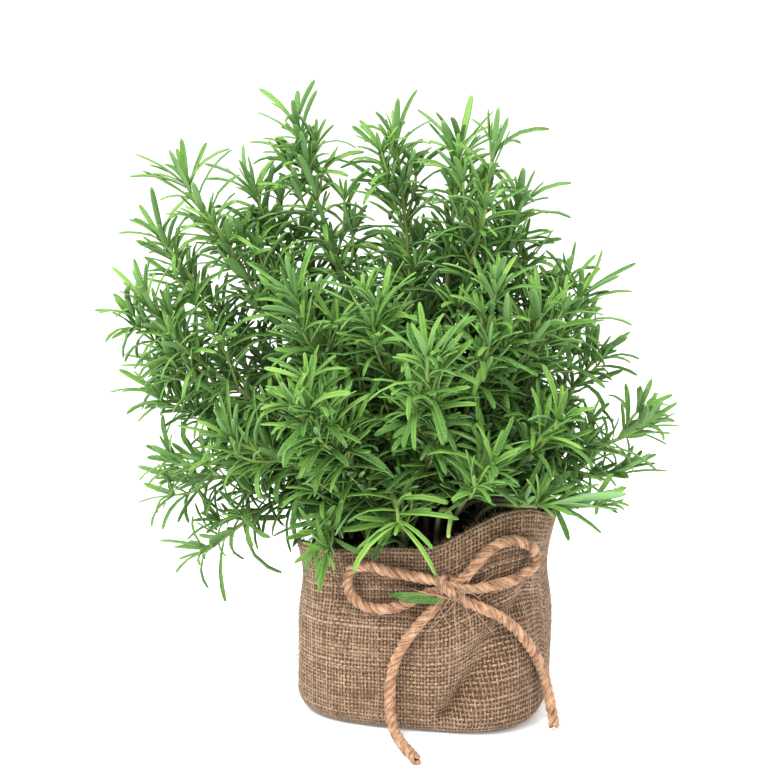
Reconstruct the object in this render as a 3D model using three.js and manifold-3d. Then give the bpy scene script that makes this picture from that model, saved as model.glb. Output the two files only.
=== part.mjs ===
// A potted rosemary: leafy shoots in a black nursery pot, inside a burlap sack tied with a jute bow.
//
// Units are millimetres and +Z is up. The origin is the centre of the sack's base, on the floor.
// The sack's wide front, which carries the bow, faces -Y.

import * as THREE from "three";
import { mergeVertices } from "three/addons/utils/BufferGeometryUtils.js";
import Module from "manifold-3d";

const wasm = await Module();
wasm.setup();

// ---- Driving dimensions ----

const GAP = 0.3; // clearance kept between pieces that touch

const SACK = {
  halfWidth: 63, // along X, half way up
  halfDepth: 51, // along Y, half way up
  squareness: 3.2, // exponent of the plan section: 2 is an ellipse, more is boxier
  wall: 2,
  rim: 95, // mean height of the mouth
  rimTilt: 8, // the right side of the mouth stands this much above the mean, the left below
  waist: { height: 68, spread: 16, width: 2.2, depth: 1.5 }, // drawn in behind the bow
  mouth: { from: 80, to: 108, width: 3.5, depth: -1.5 }, // the mouth is wider and flatter
  foot: { height: 9, width: 6, depth: 6 }, // the bottom edge is rounded
  peak: { angle: 322, spread: 22, height: 12 }, // front right corner of the mouth stands up
  slump: { angle: 180, spread: 16, height: -9 }, // the left seam's corner hangs down
  dip: { angle: 286, spread: 16, height: -3 }, // the front of the mouth sags over the bow
};

const POT = {
  base: SACK.wall + GAP,
  height: 84,
  footRadius: 34,
  bodyRadius: 43.5,
  collarRadius: 47.2,
  collarHeight: 10,
  wall: 1.2,
  drainRadius: 3.5,
  drainCircle: 21,
  drains: 5,
};

const SOIL = { edge: 73, crown: 78 };

const TWINE = { diameter: 5.4, sides: 8, clear: 0.5 };

const KNOT = { x: 22.4, z: 77.4, halfWidth: 7.6, halfHeight: 6.8, halfDepth: 4.6 };

const STITCH = { radius: 0.8, spacing: 7 };

// Routes of the bow on the sack's front: x, height and distance proud of the cloth.
const LEFT_LOOP = [
  [14.4, 80.4, 3.6], [5, 81.4, 3.2], [-7, 83, 3], [-17.4, 84.6, 3], [-23.4, 82.8, 3], [-26, 77.6, 3],
  [-25.2, 70.8, 3], [-20.6, 65.6, 3], [-12, 63.4, 3], [-3, 65.2, 3], [6, 69.6, 3.2], [14.2, 74.4, 3.6],
];
const RIGHT_LOOP = [
  [29.6, 82.4, 3.6], [34, 88.2, 3.2], [39.6, 95.2, 3], [46.6, 99.6, 3], [53.2, 98.2, 3], [57.6, 92.6, 3],
  [57.6, 86, 3], [53, 81.2, 3], [45.4, 78.8, 3.2], [33.6, 76.4, 3.6],
];
const LEFT_TAIL = [
  [17.6, 69.4, 3.6], [12.8, 63, 3.2], [6, 54.4, 3], [0.4, 45.6, 3], [-3.6, 36, 3], [-5, 26, 3.2],
];
const LEFT_TAIL_ON_FLOOR = [
  [-5, -55.6, 19], [-4.2, -57.4, 12], [-1.8, -60.8, 6.4], [1.8, -65.4, 3.4], [6, -71.4, 2.8],
  [10.2, -77.6, 2.8], [14, -84, 2.8],
];
const RIGHT_TAIL = [
  [29.4, 70.4, 3.6], [36, 67.2, 3.2], [44.4, 62, 3], [51.4, 54, 3], [56.6, 44, 3], [59.8, 33.6, 3],
  [61.4, 23.6, 3.2],
];
const RIGHT_TAIL_END = [[67.6, -26, 14.4], [69.6, -28.8, 7.6], [70.8, -31, 2.6]];

const LOOSE_LEAF = { x: 6.6, z: 72, length: 27, width: 5, thickness: 0.9, proud: 7.4, slope: -2 };

const CROWN = {
  height: 80, // where the shoots' directions spread from
  rootHeight: 64,
  rootSpread: 32,
  rootSpacing: 4.1,
  steepest: 96,
  tall: 212, // from the spreading point to the highest leaf tips
  rightSide: 12, // azimuth of the low, open side of the crown
  fillers: 26,
  fillerLean: 74,
  tipLeaf: 14, // how far the top leaves stand past the stem's end
  clearOfRims: 86, // how far the lowest shoots rise before they lean out
};

const STEM = { rootRadius: 1.35, tipRadius: 0.8, sides: 5, steps: 7 };

const LEAF = { length: 26, halfWidth: 1.9, thickness: 1.3, nodes: 3, clear: 0.35, aboveRim: 3 };

// Shoots that give the crown its outline: azimuth, lean from upright and length, all to the leaf tips.
const LEADERS = [
  [190, 17, 240], [200, 4, 220], [30, 5, 218], [340, 10, 220], [14, 15, 194], [4, 30, 168],
  [24, 43, 146], [8, 59, 146], [18, 71, 131], [350, 75, 108], [182, 26, 215], [200, 32, 234],
  [186, 41, 222], [202, 47, 208], [188, 60, 177], [200, 70, 158], [184, 80, 153], [196, 94, 134],
  [266, 80, 92], [236, 86, 104],
];

const MATERIALS = {
  burlap: { color: "#a58c6e", roughness: 0.95 },
  pot: { color: "#17181a", roughness: 0.5 },
  soil: { color: "#241b14", roughness: 1 },
  twine: { color: "#c09a72", roughness: 0.9 },
  stem: { color: "#5f8a3c", roughness: 0.7 },
  looseLeaf: { color: "#2f6b34", roughness: 0.5 },
};

// ---- Small tools ----

const radians = THREE.MathUtils.degToRad;
const UP = new THREE.Vector3(0, 0, 1);

function material(name) {
  return new THREE.MeshStandardMaterial({ metalness: 0, ...MATERIALS[name] });
}

function bump(angle, { angle: centre, spread, height }) {
  const away = (((angle - centre + 540) % 360) - 180) / spread;
  return height * Math.exp(-away * away);
}

// A repeatable number from 0 to 1 for each index.
function scatter(index) {
  const wide = Math.sin(index * 12.9898 + 4.1) * 43758.5453;
  return wide - Math.floor(wide);
}

function toSolid(geometry) {
  const bare = geometry.clone();
  bare.deleteAttribute("normal");
  bare.deleteAttribute("uv");
  const merged = mergeVertices(bare, 1e-4);
  const mesh = new wasm.Mesh({
    numProp: 3,
    vertProperties: Float32Array.from(merged.attributes.position.array),
    triVerts: Uint32Array.from(merged.index.array),
  });
  return new wasm.Manifold(mesh);
}

function toGeometry(solid) {
  const { vertProperties, triVerts } = solid.getMesh();
  const geometry = new THREE.BufferGeometry();
  geometry.setAttribute("position", new THREE.Float32BufferAttribute(vertProperties, 3));
  geometry.setIndex(Array.from(triVerts));
  geometry.computeVertexNormals();
  return geometry;
}

// A round bar whose radius runs evenly from one end of the curve to the other.
function taperedTube(curve, startRadius, endRadius, sides, steps) {
  const section = new THREE.Shape();
  for (let i = 0; i < sides; i += 1) {
    const turn = (2 * Math.PI * i) / sides;
    const corner = new THREE.Vector2(Math.cos(turn), Math.sin(turn)).multiplyScalar(startRadius);
    if (i === 0) section.moveTo(corner.x, corner.y);
    else section.lineTo(corner.x, corner.y);
  }
  section.closePath();
  const tube = new THREE.ExtrudeGeometry(section, {
    steps, extrudePath: curve, bevelEnabled: false, curveSegments: 1,
  });
  if (startRadius === endRadius) return tube;

  const centres = curve.getSpacedPoints(steps);
  const position = tube.attributes.position;
  const corner = new THREE.Vector3();
  for (let i = 0; i < position.count; i += 1) {
    corner.fromBufferAttribute(position, i);
    let nearest = 0;
    centres.forEach((centre, step) => {
      if (centre.distanceTo(corner) < centres[nearest].distanceTo(corner)) nearest = step;
    });
    const radius = THREE.MathUtils.lerp(startRadius, endRadius, nearest / steps);
    corner.sub(centres[nearest]).multiplyScalar(radius / startRadius).add(centres[nearest]);
    position.setXYZ(i, corner.x, corner.y, corner.z);
  }
  return tube;
}

// ---- Sack ----

function sackHalves(z) {
  const { waist, mouth, foot } = SACK;
  const drawn = Math.exp(-(((z - waist.height) / waist.spread) ** 2));
  const open = THREE.MathUtils.smoothstep(z, mouth.from, mouth.to);
  const round = (1 - Math.min(z / foot.height, 1)) ** 2;
  return {
    width: SACK.halfWidth - waist.width * drawn + mouth.width * open - foot.width * round,
    depth: SACK.halfDepth - waist.depth * drawn + mouth.depth * open - foot.depth * round,
  };
}

function rimHeight(angle) {
  const level = SACK.rim + SACK.rimTilt * Math.cos(radians(angle));
  return level + bump(angle, SACK.peak) + bump(angle, SACK.slump) + bump(angle, SACK.dip);
}

function sackPoint(angle, z, inset) {
  const { width, depth } = sackHalves(z);
  const turn = radians(angle);
  const across = (Math.abs(Math.cos(turn)) / (width - inset)) ** SACK.squareness;
  const along = (Math.abs(Math.sin(turn)) / (depth - inset)) ** SACK.squareness;
  const reach = (across + along) ** (-1 / SACK.squareness);
  return new THREE.Vector3(reach * Math.cos(turn), reach * Math.sin(turn), z);
}

// A point in front of the sack's front face, square to the cloth.
function beforeSack(x, z, proud) {
  const { width, depth } = sackHalves(z);
  const n = SACK.squareness;
  const y = -depth * (1 - (Math.abs(x) / width) ** n) ** (1 / n);
  const outX = (Math.sign(x) * (Math.abs(x) / width) ** (n - 1)) / width;
  const outY = -((Math.abs(y) / depth) ** (n - 1)) / depth;
  const out = new THREE.Vector3(outX, outY, 0).normalize();
  return new THREE.Vector3(x, y, z).addScaledVector(out, proud);
}

function buildSack() {
  const turns = 36;
  const outside = [0, 0.03, 0.09, 0.32, 0.56, 0.7, 0.8, 0.9, 1];
  const inside = [1, 0.9, 0.78, 0.6, 0.3, 0.1];
  const rows = [
    ...outside.map((share) => (angle) => sackPoint(angle, rimHeight(angle) * share, 0)),
    ...inside.map((share) => (angle) => sackPoint(angle, rimHeight(angle) * share, SACK.wall)),
    (angle) => sackPoint(angle, SACK.wall, SACK.wall + 1),
  ];
  const points = [];
  rows.forEach((row) => {
    for (let i = 0; i < turns; i += 1) points.push(row((360 * i) / turns));
  });
  const under = points.push(new THREE.Vector3(0, 0, 0)) - 1;
  const bottom = points.push(new THREE.Vector3(0, 0, SACK.wall)) - 1;
  const faces = [];
  for (let i = 0; i < turns; i += 1) {
    const next = (i + 1) % turns;
    faces.push(under, next, i);
    for (let row = 0; row < rows.length - 1; row += 1) {
      const low = row * turns;
      const high = low + turns;
      faces.push(low + i, low + next, high + next, low + i, high + next, high + i);
    }
    const last = (rows.length - 1) * turns;
    faces.push(last + i, last + next, bottom);
  }
  const geometry = new THREE.BufferGeometry().setFromPoints(points);
  geometry.setIndex(faces);
  const holes = stitchLegs(STITCH.radius + GAP).map(toSolid);
  return toGeometry(holes.reduce((solid, hole) => solid.subtract(hole), toSolid(geometry)));
}

// ---- Bow and the stitch that holds it ----

function twineTube(points) {
  const curve = new THREE.CatmullRomCurve3(points, false, "centripetal");
  const steps = Math.round(curve.getLength() / (1.2 * TWINE.diameter));
  const radius = TWINE.diameter / 2;
  return taperedTube(curve, radius, radius, TWINE.sides, steps);
}

function routeOnSack(route) {
  return route.map(([x, z, proud]) => beforeSack(x, z, proud + TWINE.clear - 0.1));
}

function routeInSpace(route) {
  return route.map(([x, y, z]) => new THREE.Vector3(x, y, z));
}

function knotCentre() {
  return beforeSack(KNOT.x, KNOT.z, KNOT.halfDepth + GAP);
}

function knotShape(extra) {
  const knot = new THREE.SphereGeometry(1, 12, 8);
  knot.scale(KNOT.halfWidth + extra, KNOT.halfDepth + extra, KNOT.halfHeight + extra);
  const centre = knotCentre();
  return knot.translate(centre.x, centre.y, centre.z);
}

function cutByKnot(geometry) {
  return toGeometry(toSolid(geometry).subtract(toSolid(knotShape(GAP))));
}

function stitchLegs(radius) {
  return [-0.5, 0.5].map((side) => {
    const z = KNOT.z + side * STITCH.spacing;
    const inner = beforeSack(KNOT.x, z, -SACK.wall - 1.2);
    const outer = beforeSack(KNOT.x, z, GAP + 0.9);
    return taperedTube(new THREE.LineCurve3(inner, outer), radius, radius, 8, 1);
  });
}

function buildStitch() {
  const low = beforeSack(KNOT.x, KNOT.z - STITCH.spacing / 2 - 0.8, -SACK.wall - 1.2);
  const high = beforeSack(KNOT.x, KNOT.z + STITCH.spacing / 2 + 0.8, -SACK.wall - 1.2);
  const bridge = taperedTube(new THREE.LineCurve3(low, high), STITCH.radius, STITCH.radius, 8, 1);
  const joined = stitchLegs(STITCH.radius).map(toSolid);
  const whole = joined.reduce((solid, leg) => solid.add(leg), toSolid(bridge));
  return toGeometry(whole.subtract(toSolid(knotShape(GAP))));
}

// ---- Pot and soil ----

function lathe(profile, turns) {
  const points = profile.map(([radius, z]) => new THREE.Vector2(radius, z));
  return new THREE.LatheGeometry(points, turns).rotateX(Math.PI / 2);
}

function buildPot() {
  const { base, footRadius, bodyRadius, collarRadius, wall } = POT;
  const top = base + POT.height;
  const collar = top - POT.collarHeight;
  const shell = toSolid(lathe([
    [0, base], [footRadius, base], [bodyRadius, collar - 1], [collarRadius - 0.6, collar],
    [collarRadius, top], [collarRadius - wall, top], [collarRadius - 0.6 - wall, collar + wall],
    [bodyRadius - wall, collar - 1 + wall], [footRadius - wall, base + wall], [0, base + wall],
  ], 32));
  let pot = shell;
  for (let i = 0; i < POT.drains; i += 1) {
    const turn = (2 * Math.PI * i) / POT.drains;
    const drain = new THREE.CylinderGeometry(POT.drainRadius, POT.drainRadius, 4 * wall, 8);
    drain.rotateX(Math.PI / 2);
    drain.translate(POT.drainCircle * Math.cos(turn), POT.drainCircle * Math.sin(turn), base);
    pot = pot.subtract(toSolid(drain));
  }
  return toGeometry(pot);
}

function buildSoil(shoots) {
  const low = POT.base + POT.wall + GAP;
  const footRadius = POT.footRadius - POT.wall - GAP;
  const edgeRadius = POT.bodyRadius - POT.wall - 1;
  const body = toSolid(lathe([
    [0, low], [footRadius, low], [edgeRadius, SOIL.edge], [0.7 * edgeRadius, SOIL.edge + 3],
    [0.35 * edgeRadius, SOIL.crown - 0.5], [0, SOIL.crown],
  ], 24));
  const radius = STEM.rootRadius + 2 * GAP;
  const sockets = shoots.map(({ curve }) => {
    const socket = taperedTube(curve, radius, radius, STEM.sides, STEM.steps);
    return toSolid(socket.translate(0, 0, -GAP));
  });
  return toGeometry(sockets.reduce((soil, socket) => soil.subtract(socket), body));
}

// ---- Shoots ----

// The crown is full on its left and low on its right: how far it reaches in each direction.
function crownReach(azimuth, lean) {
  const right = (1 + Math.cos(radians(azimuth - CROWN.rightSide))) / 2;
  return CROWN.tall * (1 - (0.3 + 0.2 * right) * (lean / 90) ** (1.2 - 0.5 * right));
}

function rootPlace(azimuth, lean) {
  const radius = CROWN.rootSpread * (lean / CROWN.steepest) ** 0.85;
  return new THREE.Vector2(Math.cos(radians(azimuth)), Math.sin(radians(azimuth))).multiplyScalar(radius);
}

function planShoots() {
  const plans = LEADERS.map(([azimuth, lean, length]) => ({ azimuth, lean, length }));
  let index = 0;
  while (plans.length < LEADERS.length + CROWN.fillers) {
    index += 1;
    const azimuth = (index * 137.508 + 40) % 360;
    const lean = 6 + (CROWN.fillerLean - 6) * Math.sqrt((index % 31) / 31);
    const length = crownReach(azimuth, lean) * (0.8 + 0.16 * scatter(index));
    const plan = { azimuth, lean, length };
    const place = rootPlace(azimuth, lean);
    const free = plans.every((other) => (
      rootPlace(other.azimuth, other.lean).distanceTo(place) > CROWN.rootSpacing
      && apart(stemSegments(stemCurve(plan)), stemSegments(stemCurve(other))) > 3 * STEM.rootRadius
    ));
    if (free) plans.push(plan);
  }
  return plans;
}

// A stem rises from the soil, clears the pot's and the sack's rims, then leans out.
function stemCurve({ azimuth, lean, length }) {
  const place = rootPlace(azimuth, lean);
  const out = new THREE.Vector3(Math.cos(radians(azimuth)), Math.sin(radians(azimuth)), 0);
  const toward = (angle, distance) => out.clone().multiplyScalar(Math.sin(radians(angle)) * distance)
    .addScaledVector(UP, Math.cos(radians(angle)) * distance);
  const flat = THREE.MathUtils.smoothstep(lean, 45, 82);
  const root = new THREE.Vector3(place.x, place.y, CROWN.rootHeight);
  const tip = new THREE.Vector3(0, 0, CROWN.height).add(toward(lean, length - CROWN.tipLeaf));
  const rise = THREE.MathUtils.lerp(0.36 * length, CROWN.clearOfRims, flat);
  const start = root.clone().add(toward(0.22 * lean, rise));
  const finish = tip.clone().sub(toward(lean * THREE.MathUtils.lerp(0.8, 1.2, flat), 0.34 * length));
  return new THREE.CubicBezierCurve3(root, start, finish, tip);
}

// The shortest distance between two straight pieces, each given by its two ends.
function spacing(a, b) {
  const alongA = a.end.clone().sub(a.start);
  const alongB = b.end.clone().sub(b.start);
  const between = a.start.clone().sub(b.start);
  const aa = alongA.dot(alongA);
  const bb = alongB.dot(alongB);
  const ab = alongA.dot(alongB);
  const slope = aa * bb - ab * ab;
  const clamp = (value) => THREE.MathUtils.clamp(value, 0, 1);
  let s = slope > 1e-9 ? clamp((ab * alongB.dot(between) - bb * alongA.dot(between)) / slope) : 0;
  const t = clamp((ab * s + alongB.dot(between)) / bb);
  s = clamp((ab * t - alongA.dot(between)) / aa);
  const onA = a.start.clone().addScaledVector(alongA, s);
  return onA.distanceTo(b.start.clone().addScaledVector(alongB, t));
}

function apart(pieces, others) {
  return Math.min(...pieces.flatMap((piece) => others.map((other) => spacing(piece, other))));
}

// A slender leaf along +X from the origin, flat on top and ridged underneath.
function leafShape(length) {
  const leaf = lathe([[0, 0], [1, 0.18 * length], [0.92, 0.7 * length], [0, length]], 3);
  leaf.rotateZ(Math.PI / 6);
  leaf.scale(LEAF.halfWidth / Math.cos(Math.PI / 6), LEAF.thickness / 1.5, 1);
  return leaf.applyMatrix4(new THREE.Matrix4().makeBasis(
    new THREE.Vector3(0, 1, 0), new THREE.Vector3(0, 0, 1), new THREE.Vector3(1, 0, 0),
  ));
}

// Leaves stand in crossed pairs up the stem, opening wide low down and closing towards the tip.
function planLeaves(curve, twist) {
  const leaves = [];
  const joints = curve.getSpacedPoints(STEM.steps);
  for (let node = 0; node <= LEAF.nodes; node += 1) {
    const share = node / LEAF.nodes;
    const at = 0.42 + 0.57 * share;
    const joint = Math.floor(at * STEM.steps);
    const foot = joints[joint].clone().lerp(joints[joint + 1], at * STEM.steps - joint);
    const along = curve.getTangentAt(at);
    const side = new THREE.Vector3().crossVectors(along, new THREE.Vector3(0.3, 0.2, 1)).normalize();
    side.applyAxisAngle(along, twist + (node * Math.PI) / 2);
    [1, -1].forEach((way) => {
      const open = radians(THREE.MathUtils.lerp(62, 22, share));
      const direction = along.clone().multiplyScalar(Math.cos(open))
        .addScaledVector(side, way * Math.sin(open));
      const length = LEAF.length * THREE.MathUtils.lerp(1, 0.68, share);
      const across = new THREE.Vector3().crossVectors(along, side).normalize();
      leaves.push({ start: foot, end: foot.clone().addScaledVector(direction, length), across });
    });
  }
  return leaves;
}

function leafSolid(leaf) {
  const along = leaf.end.clone().sub(leaf.start);
  const length = along.length();
  along.normalize();
  const upper = new THREE.Vector3().crossVectors(along, leaf.across).normalize();
  const turn = new THREE.Matrix4().makeBasis(along, leaf.across, upper).setPosition(leaf.start);
  return toSolid(leafShape(length).applyMatrix4(turn));
}

function stemSegments(curve) {
  const points = curve.getSpacedPoints(STEM.steps);
  return points.slice(1).map((end, i) => ({ start: points[i], end, radius: STEM.rootRadius }));
}

// A leaf may hang outside the sack, but it doesn't pass through the mouth's edge.
function clearsRim(leaf) {
  return [0, 0.25, 0.5, 0.75, 1].every((share) => {
    const point = leaf.start.clone().lerp(leaf.end, share);
    const angle = (THREE.MathUtils.radToDeg(Math.atan2(point.y, point.x)) + 360) % 360;
    const edge = sackPoint(angle, Math.min(point.z, SACK.rim), -LEAF.aboveRim);
    const outside = Math.hypot(point.x, point.y) > Math.hypot(edge.x, edge.y);
    return outside || point.z > rimHeight(angle) + LEAF.aboveRim;
  });
}

function buildShoots() {
  const shoots = planShoots().map((plan) => ({ ...plan, curve: stemCurve(plan) }));
  const taken = shoots.map(({ curve }) => stemSegments(curve));
  const radius = LEAF.halfWidth + LEAF.clear;
  shoots.forEach((shoot, index) => {
    const leaves = planLeaves(shoot.curve, index * 1.1).filter((leaf) => clearsRim(leaf)
      && taken.every((pieces, other) => other === index || pieces.every(
        (piece) => spacing(leaf, piece) > radius + piece.radius,
      )));
    leaves.forEach((leaf) => taken[index].push({ ...leaf, radius: LEAF.halfWidth }));
    const stem = toSolid(taperedTube(
      shoot.curve, STEM.rootRadius, STEM.tipRadius, STEM.sides, STEM.steps,
    ));
    shoot.geometry = toGeometry(leaves.map(leafSolid).reduce((sum, leaf) => sum.add(leaf), stem));
  });
  return shoots;
}

function buildLooseLeaf() {
  const { length, width, thickness } = LOOSE_LEAF;
  const leaf = new THREE.SphereGeometry(1, 12, 8).scale(length / 2, thickness / 2, width / 2);
  leaf.rotateY(radians(-LOOSE_LEAF.slope));
  const centre = beforeSack(LOOSE_LEAF.x, LOOSE_LEAF.z, LOOSE_LEAF.proud);
  return leaf.translate(centre.x, centre.y, centre.z);
}

// ---- The object ----

const plant = new THREE.Group();

function place(name, geometry, look) {
  const piece = new THREE.Mesh(geometry, look);
  piece.name = name;
  plant.add(piece);
}

const shoots = buildShoots();
const twine = material("twine");
place("burlap_sack", buildSack(), material("burlap"));
place("nursery_pot", buildPot(), material("pot"));
place("potting_soil", buildSoil(shoots), material("soil"));
place("bow_knot", toGeometry(toSolid(knotShape(0))), twine);
place("bow_stitch", buildStitch(), twine);
place("bow_loop_left", cutByKnot(twineTube(routeOnSack(LEFT_LOOP))), twine);
place("bow_loop_right", cutByKnot(twineTube(routeOnSack(RIGHT_LOOP))), twine);
place("bow_tail_left", cutByKnot(twineTube(
  [...routeOnSack(LEFT_TAIL), ...routeInSpace(LEFT_TAIL_ON_FLOOR)],
)), twine);
place("bow_tail_right", cutByKnot(twineTube(
  [...routeOnSack(RIGHT_TAIL), ...routeInSpace(RIGHT_TAIL_END)],
)), twine);
place("loose_leaf", buildLooseLeaf(), material("looseLeaf"));
shoots.forEach((shoot, index) => {
  place(`shoot_${String(index + 1).padStart(2, "0")}`, shoot.geometry, material("stem"));
});

export default plant;
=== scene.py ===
"""Looks of a potted rosemary: leafy shoots in a nursery pot, inside a burlap sack with a jute bow.

Everything is in metres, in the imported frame: +Z is up, the origin is the centre of the sack's
base on the floor, and the sack's wide front, with the bow, faces -Y.
"""

import logging
import math
from dataclasses import dataclass, field
from enum import Enum

import bpy
import numpy as np
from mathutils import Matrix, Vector


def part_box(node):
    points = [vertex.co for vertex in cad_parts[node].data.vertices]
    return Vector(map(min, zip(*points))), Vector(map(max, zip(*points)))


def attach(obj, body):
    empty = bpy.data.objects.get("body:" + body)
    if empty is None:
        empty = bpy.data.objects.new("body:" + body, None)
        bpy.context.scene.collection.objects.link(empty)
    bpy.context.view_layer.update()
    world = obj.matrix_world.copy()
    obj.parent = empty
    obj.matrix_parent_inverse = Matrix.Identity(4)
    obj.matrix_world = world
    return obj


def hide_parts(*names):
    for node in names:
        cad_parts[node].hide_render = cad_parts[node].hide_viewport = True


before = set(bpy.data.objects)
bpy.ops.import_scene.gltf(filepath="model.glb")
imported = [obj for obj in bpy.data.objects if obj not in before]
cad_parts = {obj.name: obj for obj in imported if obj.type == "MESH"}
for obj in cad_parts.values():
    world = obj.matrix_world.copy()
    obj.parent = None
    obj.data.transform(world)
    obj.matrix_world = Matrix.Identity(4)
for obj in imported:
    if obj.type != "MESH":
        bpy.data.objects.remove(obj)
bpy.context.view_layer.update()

LOG = logging.getLogger("rosemary")
ROOT = "root"
MM = 0.001
BAKE_MAP = "OFBake"
LAY_MAP = "Lay"
Colour = tuple[float, float, float]


# ---------------------------------------------------------------------------
# Shader maths
# ---------------------------------------------------------------------------


class Value:
    """One output of a shader node, which can be used in arithmetic."""

    def __init__(self, graph: "Graph", socket: bpy.types.NodeSocket) -> None:
        """Keeps the socket and the graph that it belongs to."""
        self.graph = graph
        self.socket = socket

    def __add__(self, other: "Value | float") -> "Value":
        """Returns self + other."""
        return self.graph.maths("ADD", self, other)

    __radd__ = __add__

    def __sub__(self, other: "Value | float") -> "Value":
        """Returns self - other."""
        return self.graph.maths("SUBTRACT", self, other)

    def __rsub__(self, other: float) -> "Value":
        """Returns other - self."""
        return self.graph.maths("SUBTRACT", other, self)

    def __mul__(self, other: "Value | float") -> "Value":
        """Returns self * other."""
        return self.graph.maths("MULTIPLY", self, other)

    __rmul__ = __mul__

    def __truediv__(self, other: "Value | float") -> "Value":
        """Returns self / other."""
        return self.graph.maths("DIVIDE", self, other)

    def __pow__(self, other: "Value | float") -> "Value":
        """Returns self to the power of other."""
        return self.graph.maths("POWER", self, other)


class Graph:
    """The node tree of one material, ending in one Principled shader."""

    def __init__(self, name: str) -> None:
        """Makes an empty material.

        Args:
            name: The material's name.
        """
        self.material = bpy.data.materials.new(name)
        self.material.use_nodes = True
        self.tree = self.material.node_tree
        self.tree.nodes.clear()

    def add(self, kind: str, settings: dict | None = None, sockets: dict | None = None,
            output: int | str = 0) -> Value:
        """Adds a node.

        Args:
            kind: The node's type, without the leading ShaderNode.
            settings: Its properties; "stops" gives a ramp's positions and colours.
            sockets: Values or links of its inputs, by name or number.
            output: The output that is wanted.

        Returns:
            The wanted output.
        """
        node = self.tree.nodes.new("ShaderNode" + kind)
        for key, value in (settings or {}).items():
            if key == "stops":
                self.set_stops(node, value)
            else:
                setattr(node, key, value)
        for key, value in (sockets or {}).items():
            self.feed(node.inputs[key], value)
        return Value(self, node.outputs[output])

    def feed(self, socket: bpy.types.NodeSocket, value: "Value | float | tuple") -> None:
        """Links a value to an input, or sets the input's own value."""
        if isinstance(value, Value):
            self.tree.links.new(value.socket, socket)
        elif isinstance(value, tuple) and len(value) == 3 and socket.type == "RGBA":
            socket.default_value = (*value, 1.0)
        else:
            socket.default_value = value

    @staticmethod
    def set_stops(node: bpy.types.Node, stops: list[tuple[float, Colour]]) -> None:
        """Sets a ramp's stops."""
        elements = node.color_ramp.elements
        while len(elements) < len(stops):
            elements.new(1.0)
        for element, (position, colour) in zip(elements, stops):
            element.position = position
            element.color = (*colour, 1.0)

    def maths(self, operation: str, first: "Value | float", second: "Value | float" = 0.0,
              clamp: bool = False) -> Value:
        """Adds a Math node and returns its value."""
        return self.add("Math", {"operation": operation, "use_clamp": clamp}, {0: first, 1: second})

    def span(self, value: Value, low: float, high: float, start: float = 0.0,
             end: float = 1.0) -> Value:
        """Maps low..high smoothly to start..end."""
        settings = {"interpolation_type": "SMOOTHSTEP"}
        return self.add("MapRange", settings, {0: value, 1: low, 2: high, 3: start, 4: end})

    def blend(self, factor: "Value | float", first: "Value | Colour", second: "Value | Colour",
              mode: str = "MIX") -> Value:
        """Mixes two colours."""
        settings = {"data_type": "RGBA", "blend_type": mode}
        return self.add("Mix", settings, {0: factor, 6: first, 7: second}, output=2)

    def attribute(self, name: str) -> Value:
        """Reads a number that is stored on the mesh."""
        return self.add("Attribute", {"attribute_name": name}, output="Fac")

    def object_place(self) -> Value:
        """Returns the Object coordinates."""
        return self.add("TexCoord", output="Object")

    def map_place(self, uv_map: str, scale: tuple[float, float, float]) -> Value:
        """Returns a UV map's coordinates, scaled."""
        place = self.add("UVMap", {"uv_map": uv_map}, output="UV")
        return self.add("Mapping", None, {"Vector": place, "Scale": scale})

    def noise(self, place: Value, scale: float, detail: float = 3.0, roughness: float = 0.55) -> Value:
        """Returns a noise from 0 to 1."""
        return self.add("TexNoise", None, {"Vector": place, "Scale": scale, "Detail": detail,
                                           "Roughness": roughness})

    def bump(self, height: Value, distance: float, strength: float = 1.0,
             under: Value | None = None) -> Value:
        """Returns a normal roughened by a height, on top of another normal if one is given."""
        sockets = {"Height": height, "Distance": distance, "Strength": strength}
        if under is not None:
            sockets["Normal"] = under
        return self.add("Bump", None, sockets, output="Normal")

    def finish(self, sockets: dict) -> bpy.types.Material:
        """Adds the Principled shader and the output.

        Args:
            sockets: The shader's inputs, as links or plain values.

        Returns:
            The finished material.
        """
        shader = self.add("BsdfPrincipled", None, sockets)
        self.add_output(shader)
        return self.material

    def add_output(self, shader: Value) -> None:
        """Links the shader to the material's output."""
        node = self.tree.nodes.new("ShaderNodeOutputMaterial")
        self.tree.links.new(shader.socket, node.inputs["Surface"])


# ---------------------------------------------------------------------------
# Finishes
# ---------------------------------------------------------------------------


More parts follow.
